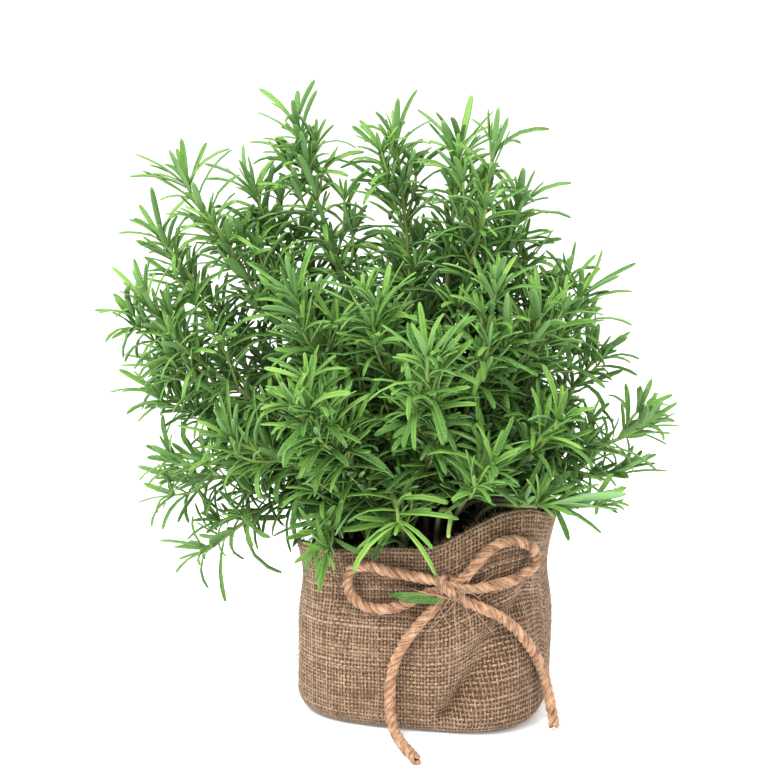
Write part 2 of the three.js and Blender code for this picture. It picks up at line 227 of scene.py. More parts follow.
@dataclass(frozen=True)
class JuteFinish:
    """Twisted jute fibres: fine diagonal strands, paler slubs and painted shade where a yarn dips under its neighbours.
    """

    name: str
    pale: Colour
    middle: Colour
    dark: Colour
    fibres_along: float
    fibres_round: float
    slant: float
    relief: float

    def make(self) -> bpy.types.Material:
        """Returns the material, which reads the piece's own lay of fibres."""
        graph = Graph(self.name)
        lay = graph.add("UVMap", {"uv_map": LAY_MAP}, output="UV")
        split = graph.add("SeparateXYZ", None, {0: lay})
        along = Value(graph, split.socket)
        round_ = Value(graph, split.socket.node.outputs[1])
        slanted = graph.add("CombineXYZ", None, {
            0: along * self.fibres_along,
            1: (round_ + along * self.slant) * self.fibres_round,
        })
        strands = graph.noise(slanted, 1.0, 3.0, 0.65)
        slubs = graph.noise(graph.object_place(), 260.0, 2.0)
        tone = graph.attribute("tone")
        mix = (strands - 0.5) * 1.9 + (slubs - 0.5) * 0.9 + (tone - 0.5) * 0.5 + 0.52
        colour = graph.add("ValToRGB", {"stops": [
            (0.22, self.dark), (0.5, self.middle), (0.85, self.pale)]}, {0: mix})
        # Painted shade: the colour is pulled towards the dark stop where a yarn dips under its neighbours.
        hollow = graph.attribute("hollow")
        shaded = graph.blend(hollow, colour, self.dark, "MIX")
        return graph.finish({
            "Base Color": shaded,
            "Roughness": 0.92,
            "Specular IOR Level": 0.2,
            "Sheen Weight": 0.25,
            "Sheen Roughness": 0.5,
            "Normal": graph.bump(strands, self.relief),
        })


@dataclass(frozen=True)
class GapShadeFinish:
    """The dark cloth that shows between the yarns of the sack: painted shade for the open weave's gaps, in a fibrous
    brown.
    """

    name: str = "burlap_gap_shade"
    dark: Colour = (0.085, 0.050, 0.028)
    pale: Colour = (0.205, 0.132, 0.080)

    def make(self) -> bpy.types.Material:
        """Returns the material."""
        graph = Graph(self.name)
        place = graph.object_place()
        fine = graph.noise(place, 1500.0, 3.0, 0.7)
        broad = graph.noise(place, 90.0, 2.0)
        factor = graph.maths("ADD", fine * 0.9, broad * 0.5 - 0.35, clamp=True)
        return graph.finish({
            "Base Color": graph.blend(factor, self.dark, self.pale),
            "Roughness": 0.97,
            "Specular IOR Level": 0.1,
            "Normal": graph.bump(fine, 0.0004),
        })


@dataclass(frozen=True)
class LeafFinish:
    """A rosemary leaf: pebbled green above with a sunken midrib, pale and felted below, with painted shade along the
    upper midrib and a painted highlight along the edges.
    """

    name: str = "rosemary_leaf"
    old: Colour = (0.009, 0.048, 0.006)
    grown: Colour = (0.060, 0.172, 0.024)
    young: Colour = (0.245, 0.425, 0.080)
    under: Colour = (0.230, 0.370, 0.185)

    def make(self) -> bpy.types.Material:
        """Returns the material, which reads each leaf's own age and tone."""
        graph = Graph(self.name)
        lay = graph.add("UVMap", {"uv_map": LAY_MAP}, output="UV")
        split = graph.add("SeparateXYZ", None, {0: lay})
        along = Value(graph, split.socket)
        across = Value(graph, split.socket.node.outputs[1])
        youth = graph.attribute("youth")
        tone = graph.attribute("tone")
        under = graph.attribute("under")
        place = graph.object_place()
        pebbles = graph.add("TexVoronoi", {"feature": "SMOOTH_F1"},
                            {"Vector": place, "Scale": 1250.0, "Smoothness": 0.6})
        mottle = graph.noise(place, 170.0, 2.0)
        age = graph.maths("ADD", youth * 0.95, mottle * 0.3 + tone * 0.46 - 0.38, clamp=True)
        upper = graph.add("ValToRGB", {"stops": [
            (0.0, self.old), (0.42, self.grown), (1.0, self.young)]}, {0: age})
        apart = graph.maths("ABSOLUTE", across)
        midrib = graph.span(apart, 0.0, 0.2, 1.0, 0.0)
        # Paler leaf edges: painted highlight along the margins.
        edge_highlight_mask = graph.span(apart, 0.62, 0.95)
        edge_highlighted = graph.blend(edge_highlight_mask * 0.42, upper, (0.26, 0.42, 0.12))
        # Darker line along the upper midrib: painted shade in its groove.
        groove_shaded = graph.blend(midrib * 0.6, edge_highlighted, (0.022, 0.095, 0.010))
        base = graph.blend(graph.span(along, 0.0, 0.14, 0.5, 0.0), groove_shaded, (0.24, 0.40, 0.08))
        bloom = graph.blend(graph.span(pebbles, 0.2, 0.62) * 0.34, base, (0.26, 0.40, 0.16))
        felt = graph.blend(midrib * 0.4, self.under, (0.22, 0.37, 0.12))
        felt_aged = graph.blend(age * 0.5, felt, (0.20, 0.38, 0.08))
        colour = graph.blend(under, bloom, felt_aged)
        height = pebbles * (1.0 - under * 0.6)
        return graph.finish({
            "Base Color": colour,
            "Roughness": graph.maths("ADD", under * 0.25, mottle * 0.12 + 0.36),
            "Specular IOR Level": 0.24,
            "Normal": graph.bump(height, 0.00012, 0.7),
        })


@dataclass(frozen=True)
class StemFinish:
    """A stem: brown and woody where it leaves the soil, pale green and downy at the tip."""

    name: str = "rosemary_stem"
    wood: Colour = (0.062, 0.040, 0.023)
    green: Colour = (0.190, 0.225, 0.085)
    tip: Colour = (0.30, 0.42, 0.12)

    def make(self) -> bpy.types.Material:
        """Returns the material."""
        graph = Graph(self.name)
        place = graph.object_place()
        youth = graph.attribute("youth")
        bark = graph.noise(place, 700.0, 4.0, 0.7)
        age = graph.maths("ADD", youth, bark * 0.24 - 0.12, clamp=True)
        colour = graph.add("ValToRGB", {"stops": [
            (0.12, self.wood), (0.42, self.green), (1.0, self.tip)]}, {0: age})
        return graph.finish({
            "Base Color": colour,
            "Roughness": 0.66,
            "Specular IOR Level": 0.3,
            "Sheen Weight": 0.1,
            "Normal": graph.bump(bark, 0.00025),
        })


@dataclass(frozen=True)
class SoilFinish:
    """Dark peat with brown fibres and a few pale grains."""

    name: str = "potting_soil"

    def make(self) -> bpy.types.Material:
        """Returns the material."""
        graph = Graph(self.name)
        place = graph.object_place()
        crumbs = graph.noise(place, 420.0, 5.0, 0.7)
        grains = graph.add("TexVoronoi", None, {"Vector": place, "Scale": 500.0})
        colour = graph.add("ValToRGB", {"stops": [
            (0.3, (0.010, 0.007, 0.005)), (0.6, (0.032, 0.021, 0.013)), (0.8, (0.075, 0.048, 0.028))]},
            {0: crumbs})
        specks = graph.blend(graph.span(grains, 0.16, 0.10), colour, (0.10, 0.065, 0.038))
        return graph.finish({
            "Base Color": specks,
            "Roughness": 0.95,
            "Specular IOR Level": 0.2,
            "Normal": graph.bump(crumbs, 0.0015),
        })


@dataclass(frozen=True)
class PlasticFinish:
    """Thin black pot plastic, faintly scuffed and dusty."""

    name: str = "black_pot_plastic"

    def make(self) -> bpy.types.Material:
        """Returns the material."""
        graph = Graph(self.name)
        place = graph.object_place()
        dust = graph.noise(place, 60.0, 5.0, 0.65)
        scuffs = graph.noise(graph.add("Mapping", None, {"Vector": place, "Scale": (1.0, 1.0, 0.15)}),
                             500.0, 2.0)
        return graph.finish({
            "Base Color": graph.blend(graph.span(dust, 0.5, 0.75) * 0.5, (0.012, 0.012, 0.013),
                                      (0.05, 0.043, 0.036)),
            "Roughness": dust * 0.3 + 0.32,
            "Specular IOR Level": 0.45,
            "Normal": graph.bump(scuffs, 0.0001),
        })


@dataclass(frozen=True)
class FloorFinish:
    """A plain pale floor."""

    name: str = "pale_floor"
    colour: Colour = (0.86, 0.86, 0.86)
    glow: float = 0.16

    def make(self) -> bpy.types.Material:
        """Returns the material."""
        graph = Graph(self.name)
        cloud = graph.noise(graph.object_place(), 3.0, 2.0)
        return graph.finish({
            "Base Color": graph.blend(cloud * 0.1, self.colour, (0.82, 0.82, 0.82)),
            "Roughness": 0.85,
            "Specular IOR Level": 0.0,
            "Emission Color": (1.0, 1.0, 1.0),
            "Emission Strength": self.glow,
        })


BURLAP = JuteFinish("burlap_yarn", (0.505, 0.380, 0.278), (0.362, 0.255, 0.175), (0.195, 0.125, 0.077),
                    260.0, 9.0, 130.0, 0.00035)
TWINE = JuteFinish("jute_twine", (0.70, 0.470, 0.315), (0.480, 0.292, 0.182), (0.185, 0.092, 0.050),
                   90.0, 18.0, 60.0, 0.0006)


class Finish(Enum):
    """The finishes, each made once."""

    BURLAP = BURLAP
    BACKING = GapShadeFinish()
    TWINE = TWINE
    LEAF = LeafFinish()
    STEM = StemFinish()
    SOIL = SoilFinish()
    PLASTIC = PlasticFinish()
    FLOOR = FloorFinish()

    def material(self) -> bpy.types.Material:
        """Returns this finish's material, made the first time it is asked for."""
        return bpy.data.materials.get(self.value.name) or self.value.make()


class Slot(Enum):
    """The record's material slots."""

    BURLAP = "burlap"
    PLASTIC = "pot_plastic"
    SOIL = "soil"
    TWINE = "twine"
    ROSEMARY = "rosemary"


# ---------------------------------------------------------------------------
# Mesh tools
# ---------------------------------------------------------------------------


def unit(vectors: np.ndarray) -> np.ndarray:
    """Returns the vectors at length 1."""
    return vectors / np.maximum(np.linalg.norm(vectors, axis=-1, keepdims=True), 1e-12)


def smooth_step(value: np.ndarray | float, low: float, high: float) -> np.ndarray | float:
    """Rises smoothly from 0 at low to 1 at high."""
    share = np.clip((value - low) / (high - low), 0.0, 1.0)
    return share * share * (3.0 - 2.0 * share)


def select_only(piece: bpy.types.Object) -> None:
    """Selects one object and nothing else."""
    bpy.ops.object.select_all(action="DESELECT")
    piece.select_set(True)
    bpy.context.view_layer.objects.active = piece


def dress(piece: bpy.types.Object, finish: Finish, replaces: tuple[str, ...] = ()) -> None:
    """Gives a piece its finish, its body and the CAD nodes that it stands for."""
    piece.data.materials.clear()
    piece.data.materials.append(finish.material())
    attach(piece, ROOT)
    if replaces:
        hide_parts(*replaces)
    LOG.info("%s: %d faces", piece.name, len(piece.data.polygons) if piece.type == "MESH" else 0)


@dataclass
class Loft:
    """A mesh of many closed bodies, each swept through rings and closed by a point at both ends."""

    vertices: list[np.ndarray] = field(default_factory=list)
    faces: list[np.ndarray] = field(default_factory=list)
    lay: list[np.ndarray] = field(default_factory=list)
    bake: list[np.ndarray] = field(default_factory=list)
    numbers: dict[str, list[np.ndarray]] = field(default_factory=dict)
    count: int = 0

    def sweep(self, rings: np.ndarray, ends: tuple[np.ndarray, np.ndarray], along: np.ndarray,
              rows: tuple[int, int], numbers: dict[str, np.ndarray]) -> None:
        """Adds bodies that have the same number of rings.

        Args:
            rings: Points, as bodies x rings x sides x 3.
            ends: The first and the last point of each body, as bodies x 3 each.
            along: Metres along each body at its first point, rings and last point.
            rows: The first row of the bake map that these bodies take, and the rows in all.
            numbers: Values for each vertex, as bodies x (rings + 2).
        """
        bodies, stations, sides, _ = rings.shape
        first = ends[0][:, None, None, :].repeat(sides, axis=2)
        last = ends[1][:, None, None, :].repeat(sides, axis=2)
        cage = np.concatenate([first, rings, last], axis=1)
        body, ring, side = np.meshgrid(np.arange(bodies), np.arange(stations + 1), np.arange(sides),
                                       indexing="ij")
        here = self.count + (body * (stations + 2) + ring) * sides
        beside = (side + 1) % sides
        quads = np.stack([here + side, here + beside, here + sides + beside, here + sides + side], axis=-1)
        self.faces.append(quads.reshape(-1, 4))
        steps = np.stack([along[body, ring], along[body, ring], along[body, ring + 1],
                          along[body, ring + 1]], axis=-1)
        turns = np.stack([side, side + 1, side + 1, side], axis=-1) / sides
        self.lay.append(np.stack([steps, turns], axis=-1).reshape(-1, 2))
        share = np.stack([ring, ring, ring + 1, ring + 1], axis=-1) / (stations + 1)
        row = (rows[0] + body[..., None] + 0.06 + 0.88 * turns) / rows[1]
        self.bake.append(np.stack([0.004 + 0.992 * share, row], axis=-1).reshape(-1, 2))
        self.vertices.append(cage.reshape(-1, 3))
        for name, values in numbers.items():
            spread = np.repeat(values[:, :, None], sides, axis=2)
            self.numbers.setdefault(name, []).append(spread.reshape(-1))
        self.count += bodies * (stations + 2) * sides

    def build(self, name: str) -> bpy.types.Object:
        """Returns the mesh object, with its end points merged and its faces smooth."""
        mesh = bpy.data.meshes.new(name)
        points = np.concatenate(self.vertices)
        faces = np.concatenate(self.faces)
        mesh.vertices.add(len(points))
        mesh.vertices.foreach_set("co", points.astype(np.float32).ravel())
        mesh.loops.add(faces.size)
        mesh.loops.foreach_set("vertex_index", faces.astype(np.int32).ravel())
        mesh.polygons.add(len(faces))
        mesh.polygons.foreach_set("loop_start", np.arange(0, faces.size, 4, dtype=np.int32))
        mesh.polygons.foreach_set("loop_total", np.full(len(faces), 4, dtype=np.int32))
        mesh.update(calc_edges=True)
        for title, parts in ((LAY_MAP, self.lay), (BAKE_MAP, self.bake)):
            layer = mesh.uv_layers.new(name=title)
            layer.data.foreach_set("uv", np.concatenate(parts).astype(np.float32).ravel())
        for title, values in self.numbers.items():
            data = mesh.attributes.new(title, "FLOAT", "POINT")
            data.data.foreach_set("value", np.concatenate(values).astype(np.float32))
        piece = bpy.data.objects.new(name, mesh)
        bpy.context.scene.collection.objects.link(piece)
        select_only(piece)
        bpy.ops.object.mode_set(mode="EDIT")
        bpy.ops.mesh.select_all(action="SELECT")
        bpy.ops.mesh.remove_doubles(threshold=1e-7)
        bpy.ops.object.mode_set(mode="OBJECT")
        bpy.ops.object.shade_smooth()
        return piece


def tube_rings(path: np.ndarray, up: np.ndarray, wide: np.ndarray, thick: np.ndarray,
               sides: int) -> np.ndarray:
    """Puts an oval ring round each point of each path.

    Args:
        path: Points, as bodies x points x 3.
        up: The direction of each ring's thickness, roughly square to the path.
        wide: Half the ring's width at each point.
        thick: Half its thickness at each point.
        sides: Corners of a ring.

    Returns:
        Rings, as bodies x points x sides x 3.
    """
    ahead = unit(np.gradient(path, axis=1))
    across = unit(np.cross(up, ahead))
    square = np.cross(ahead, across)
    turn = 2 * np.pi * np.arange(sides) / sides
    flat = across[:, :, None, :] * np.cos(turn)[None, None, :, None] * wide[:, :, None, None]
    tall = square[:, :, None, :] * np.sin(turn)[None, None, :, None] * thick[:, :, None, None]
    return path[:, :, None, :] + flat + tall


def spline(points: np.ndarray, spacing: float) -> np.ndarray:
    """Runs a smooth curve through points and cuts it at an even spacing.

    Args:
        points: The points to pass through.
        spacing: Metres from one result to the next.

    Returns:
        Points along the curve.
    """
    padded = np.vstack([2 * points[0] - points[1], points, 2 * points[-1] - points[-2]])
    dense = []
    for a, b, c, d in zip(padded, padded[1:], padded[2:], padded[3:]):
        knots = np.cumsum([0.0] + [max(np.linalg.norm(q - p), 1e-9) ** 0.5
                                   for p, q in ((a, b), (b, c), (c, d))])
        for t in np.linspace(knots[1], knots[2], 24, endpoint=False):
            ab = a + (b - a) * (t - knots[0]) / (knots[1] - knots[0])
            bc = b + (c - b) * (t - knots[1]) / (knots[2] - knots[1])
            cd = c + (d - c) * (t - knots[2]) / (knots[3] - knots[2])
            abc = ab + (bc - ab) * (t - knots[0]) / (knots[2] - knots[0])
            bcd = bc + (cd - bc) * (t - knots[1]) / (knots[3] - knots[1])
            dense.append(abc + (bcd - abc) * (t - knots[1]) / (knots[2] - knots[1]))
    dense.append(points[-1])
    dense = np.array(dense)
    reach = np.concatenate([[0.0], np.cumsum(np.linalg.norm(np.diff(dense, axis=0), axis=1))])
    cuts = np.linspace(0.0, reach[-1], max(int(round(reach[-1] / spacing)), 2) + 1)
    return np.stack([np.interp(cuts, reach, dense[:, axis]) for axis in range(3)], axis=1)


def length_of(path: np.ndarray) -> float:
    """Returns a path's length in metres."""
    return float(np.linalg.norm(np.diff(path, axis=0), axis=1).sum())


# ---------------------------------------------------------------------------
# The sack's shape
# ---------------------------------------------------------------------------


@dataclass(frozen=True)
class SackForm:
    """The sack's outside as the frame holds it, in millimetres like its driving dimensions."""

    half_width: float = 63.0
    half_depth: float = 51.0
    squareness: float = 3.2
    rim: float = 95.0
    rim_tilt: float = 8.0
    waist: tuple[float, float, float, float] = (68.0, 16.0, 2.2, 1.5)
    mouth: tuple[float, float, float, float] = (80.0, 108.0, 3.5, -1.5)
    foot: tuple[float, float, float] = (9.0, 6.0, 6.0)
    bumps: tuple[tuple[float, float, float], ...] = (
        (322.0, 22.0, 12.0), (180.0, 16.0, -9.0), (286.0, 16.0, -3.0))

    def halves(self, z: np.ndarray) -> tuple[np.ndarray, np.ndarray]:
        """Returns the half width and the half depth at a height."""
        drawn = np.exp(-(((z - self.waist[0]) / self.waist[1]) ** 2))
        opened = smooth_step(z, self.mouth[0], self.mouth[1])
        curled = (1 - np.clip(z / self.foot[0], 0.0, 1.0)) ** 2
        width = self.half_width - self.waist[2] * drawn + self.mouth[2] * opened - self.foot[1] * curled
        depth = self.half_depth - self.waist[3] * drawn + self.mouth[3] * opened - self.foot[2] * curled
        return width, depth

    def rim_height(self, angle: np.ndarray) -> np.ndarray:
        """Returns the mouth's height at an angle in degrees."""
        height = self.rim + self.rim_tilt * np.cos(np.radians(angle))
        for centre, spread, rise in self.bumps:
            away = (((angle - centre + 540.0) % 360.0) - 180.0) / spread
            height = height + rise * np.exp(-away * away)
        return height

    def reach(self, angle: np.ndarray, z: np.ndarray, inset: np.ndarray) -> np.ndarray:
        """Returns how far the outside is from the axis."""
        width, depth = self.halves(z)
        turn = np.radians(angle)
        n = self.squareness
        return ((np.abs(np.cos(turn)) / (width - inset)) ** n
                + (np.abs(np.sin(turn)) / (depth - inset)) ** n) ** (-1 / n)

    def before(self, x: float, z: float, proud: float) -> tuple[float, float, float]:
        """Returns a point in front of the sack's front face, square to the cloth."""
        width, depth = self.halves(np.float64(z))
        n = self.squareness
        y = -depth * (1 - (abs(x) / width) ** n) ** (1 / n)
        out = Vector((math.copysign((abs(x) / width) ** (n - 1) / width, x),
                      -((abs(y) / depth) ** (n - 1)) / depth)).normalized()
        return x + out.x * proud, float(y + out.y * proud), z


FORM = SackForm()


# ---------------------------------------------------------------------------
# Studio
# ---------------------------------------------------------------------------


@dataclass
class Studio:
    """The floor, the soft lights and the camera."""

    azimuth: float = 12.0
    elevation: float = 13.0
    distance: float = 0.85
    lens: float = 80.0
    pivot: tuple[float, float, float] = (0.0, 0.0, 0.15)
    aim: tuple[float, float, float] = (-0.018, -0.004, 0.16)
    floor_radius: float = 150.0

    def build(self) -> None:
        """Makes the camera, the floor and the lights."""
        self.add_camera()
        self.add_floor()
        self.add_lights()

    def away(self, azimuth: float, elevation: float, distance: float) -> Vector:
        """Returns a place that far from the plant's middle, azimuth 0 being in front."""
        turn, rise = math.radians(azimuth), math.radians(elevation)
        return Vector(self.pivot) + distance * Vector((
            math.sin(turn) * math.cos(rise), -math.cos(turn) * math.cos(rise), math.sin(rise)))

    def aimed(self, thing: bpy.types.Object, place: Vector) -> None:
        """Puts a camera or a light at a place and turns it to the aim."""
        thing.location = place
        thing.rotation_euler = (Vector(self.aim) - place).to_track_quat("-Z", "Y").to_euler()

    def add_camera(self) -> None:
        """Adds the camera."""
        bpy.ops.object.camera_add()
        camera = bpy.context.object
        camera.name = "camera"
        camera.data.lens = self.lens
        camera.data.sensor_width = 36.0
        camera.data.clip_start = 0.01
        camera.data.clip_end = 1000.0
        self.aimed(camera, self.away(self.azimuth, self.elevation, self.distance))
        bpy.context.scene.camera = camera

    def add_floor(self) -> None:
        """Adds the floor, which isn't part of the object."""
        bpy.ops.object.select_all(action="DESELECT")
        bpy.ops.mesh.primitive_circle_add(vertices=96, radius=self.floor_radius, fill_type="NGON")
        floor = bpy.context.object
        floor.name = "floor"
        floor.data.materials.append(Finish.FLOOR.material())

    def add_lights(self) -> None:
        """Adds three large soft lamps and a bright, even surround."""
        for name, azimuth, elevation, distance, size, power in (
                ("key_light", -24.0, 52.0, 1.5, 0.7, 19.0),
                ("fill_light", 52.0, 30.0, 1.8, 1.5, 4.5),
                ("top_light", 150.0, 70.0, 1.6, 1.4, 7.0)):
            bpy.ops.object.light_add(type="AREA")
            lamp = bpy.context.object
            lamp.name = name
            lamp.data.shape = "DISK"
            lamp.data.size = size
            lamp.data.energy = power
            self.aimed(lamp, self.away(azimuth, elevation, distance))
        world = bpy.data.worlds.new("surround")
        bpy.context.scene.world = world
        world.use_nodes = True
        background = world.node_tree.nodes["Background"]
        background.inputs["Color"].default_value = (1.0, 1.0, 1.0, 1.0)
        background.inputs["Strength"].default_value = 1.0
        view = bpy.context.scene.view_settings
        view.view_transform = "Standard"
        view.exposure = 0.28
        view.gamma = 0.82


# ---------------------------------------------------------------------------
# Bow
# ---------------------------------------------------------------------------


@dataclass
class Bow:
    """The twine bow: two loops and two tails held by a knot, on the sack's front.

    The routes give x, height and distance proud of the cloth, in millimetres, as the frame has
    them; the free ends give x, y and z.
    """

    diameter: float = 5.4 * MM
    settle: float = 0.4
    lay_length: float = 11.5 * MM
    sides: int = 12
    spacing: float = 0.45 * MM
    knot: tuple[float, float, float] = (22.4, 77.4, 4.9)
    left_loop: tuple = (
        (14.4, 80.4, 3.6), (5, 81.4, 3.2), (-7, 83, 3), (-17.4, 84.6, 3), (-23.4, 82.8, 3),
        (-26, 77.6, 3), (-25.2, 70.8, 3), (-20.6, 65.6, 3), (-12, 63.4, 3), (-3, 65.2, 3),
        (6, 69.6, 3.2), (14.2, 74.4, 3.6))
    right_loop: tuple = (
        (29.6, 82.4, 3.6), (34, 88.2, 3.2), (39.6, 95.2, 3), (46.6, 99.6, 3), (53.2, 98.2, 3),
        (57.6, 92.6, 3), (57.6, 86, 3), (53, 81.2, 3), (45.4, 78.8, 3.2), (33.6, 76.4, 3.6))
    left_tail: tuple = (
        (17.6, 69.4, 3.6), (12.8, 63, 3.2), (6, 54.4, 3), (0.4, 45.6, 3), (-3.6, 36, 3), (-5, 26, 3.2))
    left_floor: tuple = (
        (-5, -55.6, 19), (-4.2, -57.4, 12), (-1.8, -60.8, 6.4), (1.8, -65.4, 3.4), (6, -71.4, 2.8),
        (10.2, -77.6, 2.8), (14, -84, 2.8))
    right_tail: tuple = (
        (29.4, 70.4, 3.6), (36, 67.2, 3.2), (44.4, 62, 3), (51.4, 54, 3), (56.6, 44, 3),
        (59.8, 33.6, 3), (61.4, 23.6, 3.2))
    right_floor: tuple = ((67.6, -26, 14.4), (69.6, -28.8, 7.6), (70.8, -31, 2.9))
    links: tuple = (
        ((12.4, 80.8, 3.4), (17, 80, 4.2), (22.4, 78.6, 5.2), (28, 77, 4.4), (35, 76.6, 3.6)),
        ((12.2, 73.4, 3.4), (18, 75.2, 3.4), (23, 77.4, 3), (31, 84, 3.5)),
        ((16.4, 67.6, 3.4), (19.6, 72.4, 3.8), (22.4, 76.6, 3), (25, 81, 2.8)),
        ((31.4, 69.6, 3.5), (27, 72.4, 4), (22.6, 76.4, 3.4), (19, 80.4, 3)))

    def route(self, on_sack: tuple, free: tuple = ()) -> np.ndarray:
        """Returns a route's points in metres, cut at an even spacing."""
        points = [FORM.before(x, z, proud + self.settle) for x, z, proud in on_sack]
        return spline(np.array(points + list(free), dtype=float) * MM, self.spacing)

    def strands(self, loft: Loft, path: np.ndarray, rows: tuple[int, int], fray: bool,
                rng: np.random.Generator, thickness: float = 1.0) -> None:
        """Lays three plies round a path.

        Args:
            loft: The mesh that takes them.
            path: The rope's centreline.
            rows: The first row of the bake map for this rope, and the rows in all.
            fray: Whether the far end opens into loose plies.
            rng: The source of unevenness.
            thickness: The rope's size beside its usual size.
        """
        radius = self.diameter / 2 * thickness
        ply = 0.49 * radius
        offset = 0.525 * radius
        run = np.linspace(0.0, length_of(path), len(path))
        ahead = unit(np.gradient(path, axis=0))
        up = np.tile((0.1, -1.0, 0.15), (len(path), 1))
        across = unit(np.cross(up, ahead))
        square = np.cross(ahead, across)
        wander = np.interp(run, np.arange(0, run[-1] + 0.02, 0.009),
                           rng.normal(0, 0.25, len(np.arange(0, run[-1] + 0.02, 0.009))))
        opened = smooth_step(run, run[-1] - 0.007, run[-1]) if fray else np.zeros(len(run))
        for index in range(3):
            turn = 2 * np.pi * (run / self.lay_length + index / 3) + wander
            out = across * np.cos(turn)[:, None] + square * np.sin(turn)[:, None]
            line = path + out * (offset * (1 + 0.22 * opened))[:, None]
            bulk = np.interp(run, np.arange(0, run[-1] + 0.02, 0.004),
                             rng.normal(1.0, 0.06, len(np.arange(0, run[-1] + 0.02, 0.004))))
            size = ply * bulk * (1 - 0.12 * opened)
            rings = tube_rings(line[None], out[None], size[None] * 1.04, size[None] * 0.97, self.sides)
            ends = (line[:1] - ahead[:1] * ply * 0.3, line[-1:] + ahead[-1:] * ply * 0.5)
            along = np.concatenate([[0.0], run, [run[-1] + ply]])[None]
            tone = np.full((1, len(run) + 2), rng.uniform(0.25, 0.8))
            loft.sweep(rings, ends, along, (rows[0] + index, rows[1]),
                       {"tone": tone, "hollow": np.zeros_like(tone)})

    def cord(self, name: str, path: np.ndarray, far_end: str, rng: np.random.Generator) -> None:
        """Builds one stretch of twine that replaces its CAD tube."""
        loft = Loft()
        self.strands(loft, path, (0, 3), far_end == "bare", rng)
        piece = loft.build(name + "_twine")
        dress(piece, Finish.TWINE, (name,))
        LOG.info("%s: %.1f mm of twine", name, length_of(path) / MM)

    def build(self) -> dict[str, np.ndarray]:
        """Builds the loops, the tails and the knot, and returns the routes."""
        rng = np.random.default_rng(11)
        routes = {
            "bow_loop_left": self.route(self.left_loop),
            "bow_loop_right": self.route(self.right_loop),
            "bow_tail_left": self.route(self.left_tail, self.left_floor),
            "bow_tail_right": self.route(self.right_tail, self.right_floor),
        }
        for name, path in routes.items():
            self.cord(name, path, "object" if "loop" in name else "bare", rng)
        self.build_knot(rng)
        self.build_hairs(routes, rng)
        self.build_stitch()
        return routes

    def build_knot(self, rng: np.random.Generator) -> None:
        """Builds the wrap that binds the loops, and the crossing twine inside it."""
        centre = np.array(FORM.before(*self.knot)) * MM
        loft = Loft()
        turn = np.linspace(0, 4 * np.pi, 90)
        tilt = math.radians(-36.0)
        height, depth, drift = 5.0 * MM, 3.9 * MM, 1.5 * MM
        lift, side = np.sin(turn) * height, (turn / (2 * np.pi) - 1) * drift
        wrap = np.stack([lift * math.sin(tilt) + side * math.cos(tilt), -np.cos(turn) * depth,
                         lift * math.cos(tilt) - side * math.sin(tilt)], axis=1) + centre
        count = 3 * (1 + len(self.links))
        self.strands(loft, spline(wrap, self.spacing), (0, count), False, rng, 0.72)
        for index, link in enumerate(self.links):
            self.strands(loft, self.route(link), (3 + 3 * index, count), False, rng, 0.88)
        dress(loft.build("bow_knot_twine"), Finish.TWINE, ("bow_knot",))

    def build_hairs(self, routes: dict[str, np.ndarray], rng: np.random.Generator) -> None:
        """Adds the stray fibres that stand out from the twine."""
        loft = Loft()
        count, stations = 320, 9
        starts, outs = [], []
        lines = list(routes.values())
        for _ in range(count):
            path = lines[rng.integers(len(lines))]
            index = rng.integers(4, len(path) - 4)
            ahead = unit(path[index + 2] - path[index - 2])
            out = unit(rng.normal(size=3) * (1, 0.6, 1) + (0, -0.7, 0.1))
            out = unit(out - ahead * (out @ ahead))
            starts.append(path[index] + out * self.diameter * 0.4)
            outs.append(unit(out * 0.7 + ahead * rng.choice((-1, 1)) * rng.uniform(0.3, 1.2)))
        sweep_hairs(loft, np.array(starts), np.array(outs), rng, (2 * MM, 6 * MM), stations)
        knot = np.array(FORM.before(*self.knot)) * MM
        starts = knot + rng.normal(size=(24, 3)) * (4.5 * MM, 0.8 * MM, 3 * MM) + (3 * MM, -2.6 * MM, -1 * MM)
        outs = unit(rng.normal(size=(24, 3)) * (1.0, 0.12, 1.0) + (0.4, -0.2, -0.3))
        sweep_hairs(loft, starts, outs, rng, (9 * MM, 21 * MM), 14, 3.2)
        dress(loft.build("twine_stray_fibres"), Finish.TWINE)

    def build_stitch(self) -> None:
        """Builds the thread that holds the knot to the cloth, seen only from inside the sack."""
        low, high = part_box("bow_stitch")
        middle = (low + high) / 2
        bpy.ops.object.select_all(action="DESELECT")
        bpy.ops.curve.primitive_bezier_curve_add()
        thread = bpy.context.object
        thread.name = "bow_stitch_thread"
        points = thread.data.splines[0].bezier_points
        points.add(2)
        inside, outside = high.y - 0.7 * MM, low.y + 0.3 * MM
        for point, place in zip(points, ((middle.x, outside, low.z + 1.1 * MM), (middle.x, inside, low.z + 1.1 * MM),
                                         (middle.x, inside, high.z - 1.1 * MM),
                                         (middle.x, outside, high.z - 1.1 * MM))):
            point.co = place
            point.handle_left_type = point.handle_right_type = "AUTO"
        thread.data.bevel_depth = 0.75 * MM
        thread.data.bevel_resolution = 3
        thread.data.use_fill_caps = True
        thread.location = (0, 0, 0)
        select_only(thread)
        bpy.ops.object.convert(target="MESH")
        thread = bpy.context.object
        bpy.ops.object.transform_apply(location=True, rotation=True, scale=True)
        add_plain_lay(thread)
        dress(thread, Finish.TWINE, ("bow_stitch",))


def add_plain_lay(piece: bpy.types.Object) -> None:
    """Gives a small piece the lay map and the numbers that the jute finish reads."""
    mesh = piece.data
    layer = mesh.uv_layers.get(LAY_MAP) or mesh.uv_layers.new(name=LAY_MAP)
    points = np.array([v.co for v in mesh.vertices])
    corners = np.array([loop.vertex_index for loop in mesh.loops])
    layer.data.foreach_set("uv", np.stack([points[corners, 2], points[corners, 0] * 60], axis=1).ravel())
    for name, value in (("tone", 0.5), ("hollow", 0.0)):
        data = mesh.attributes.new(name, "FLOAT", "POINT")
        data.data.foreach_set("value", np.full(len(points), value, np.float32))


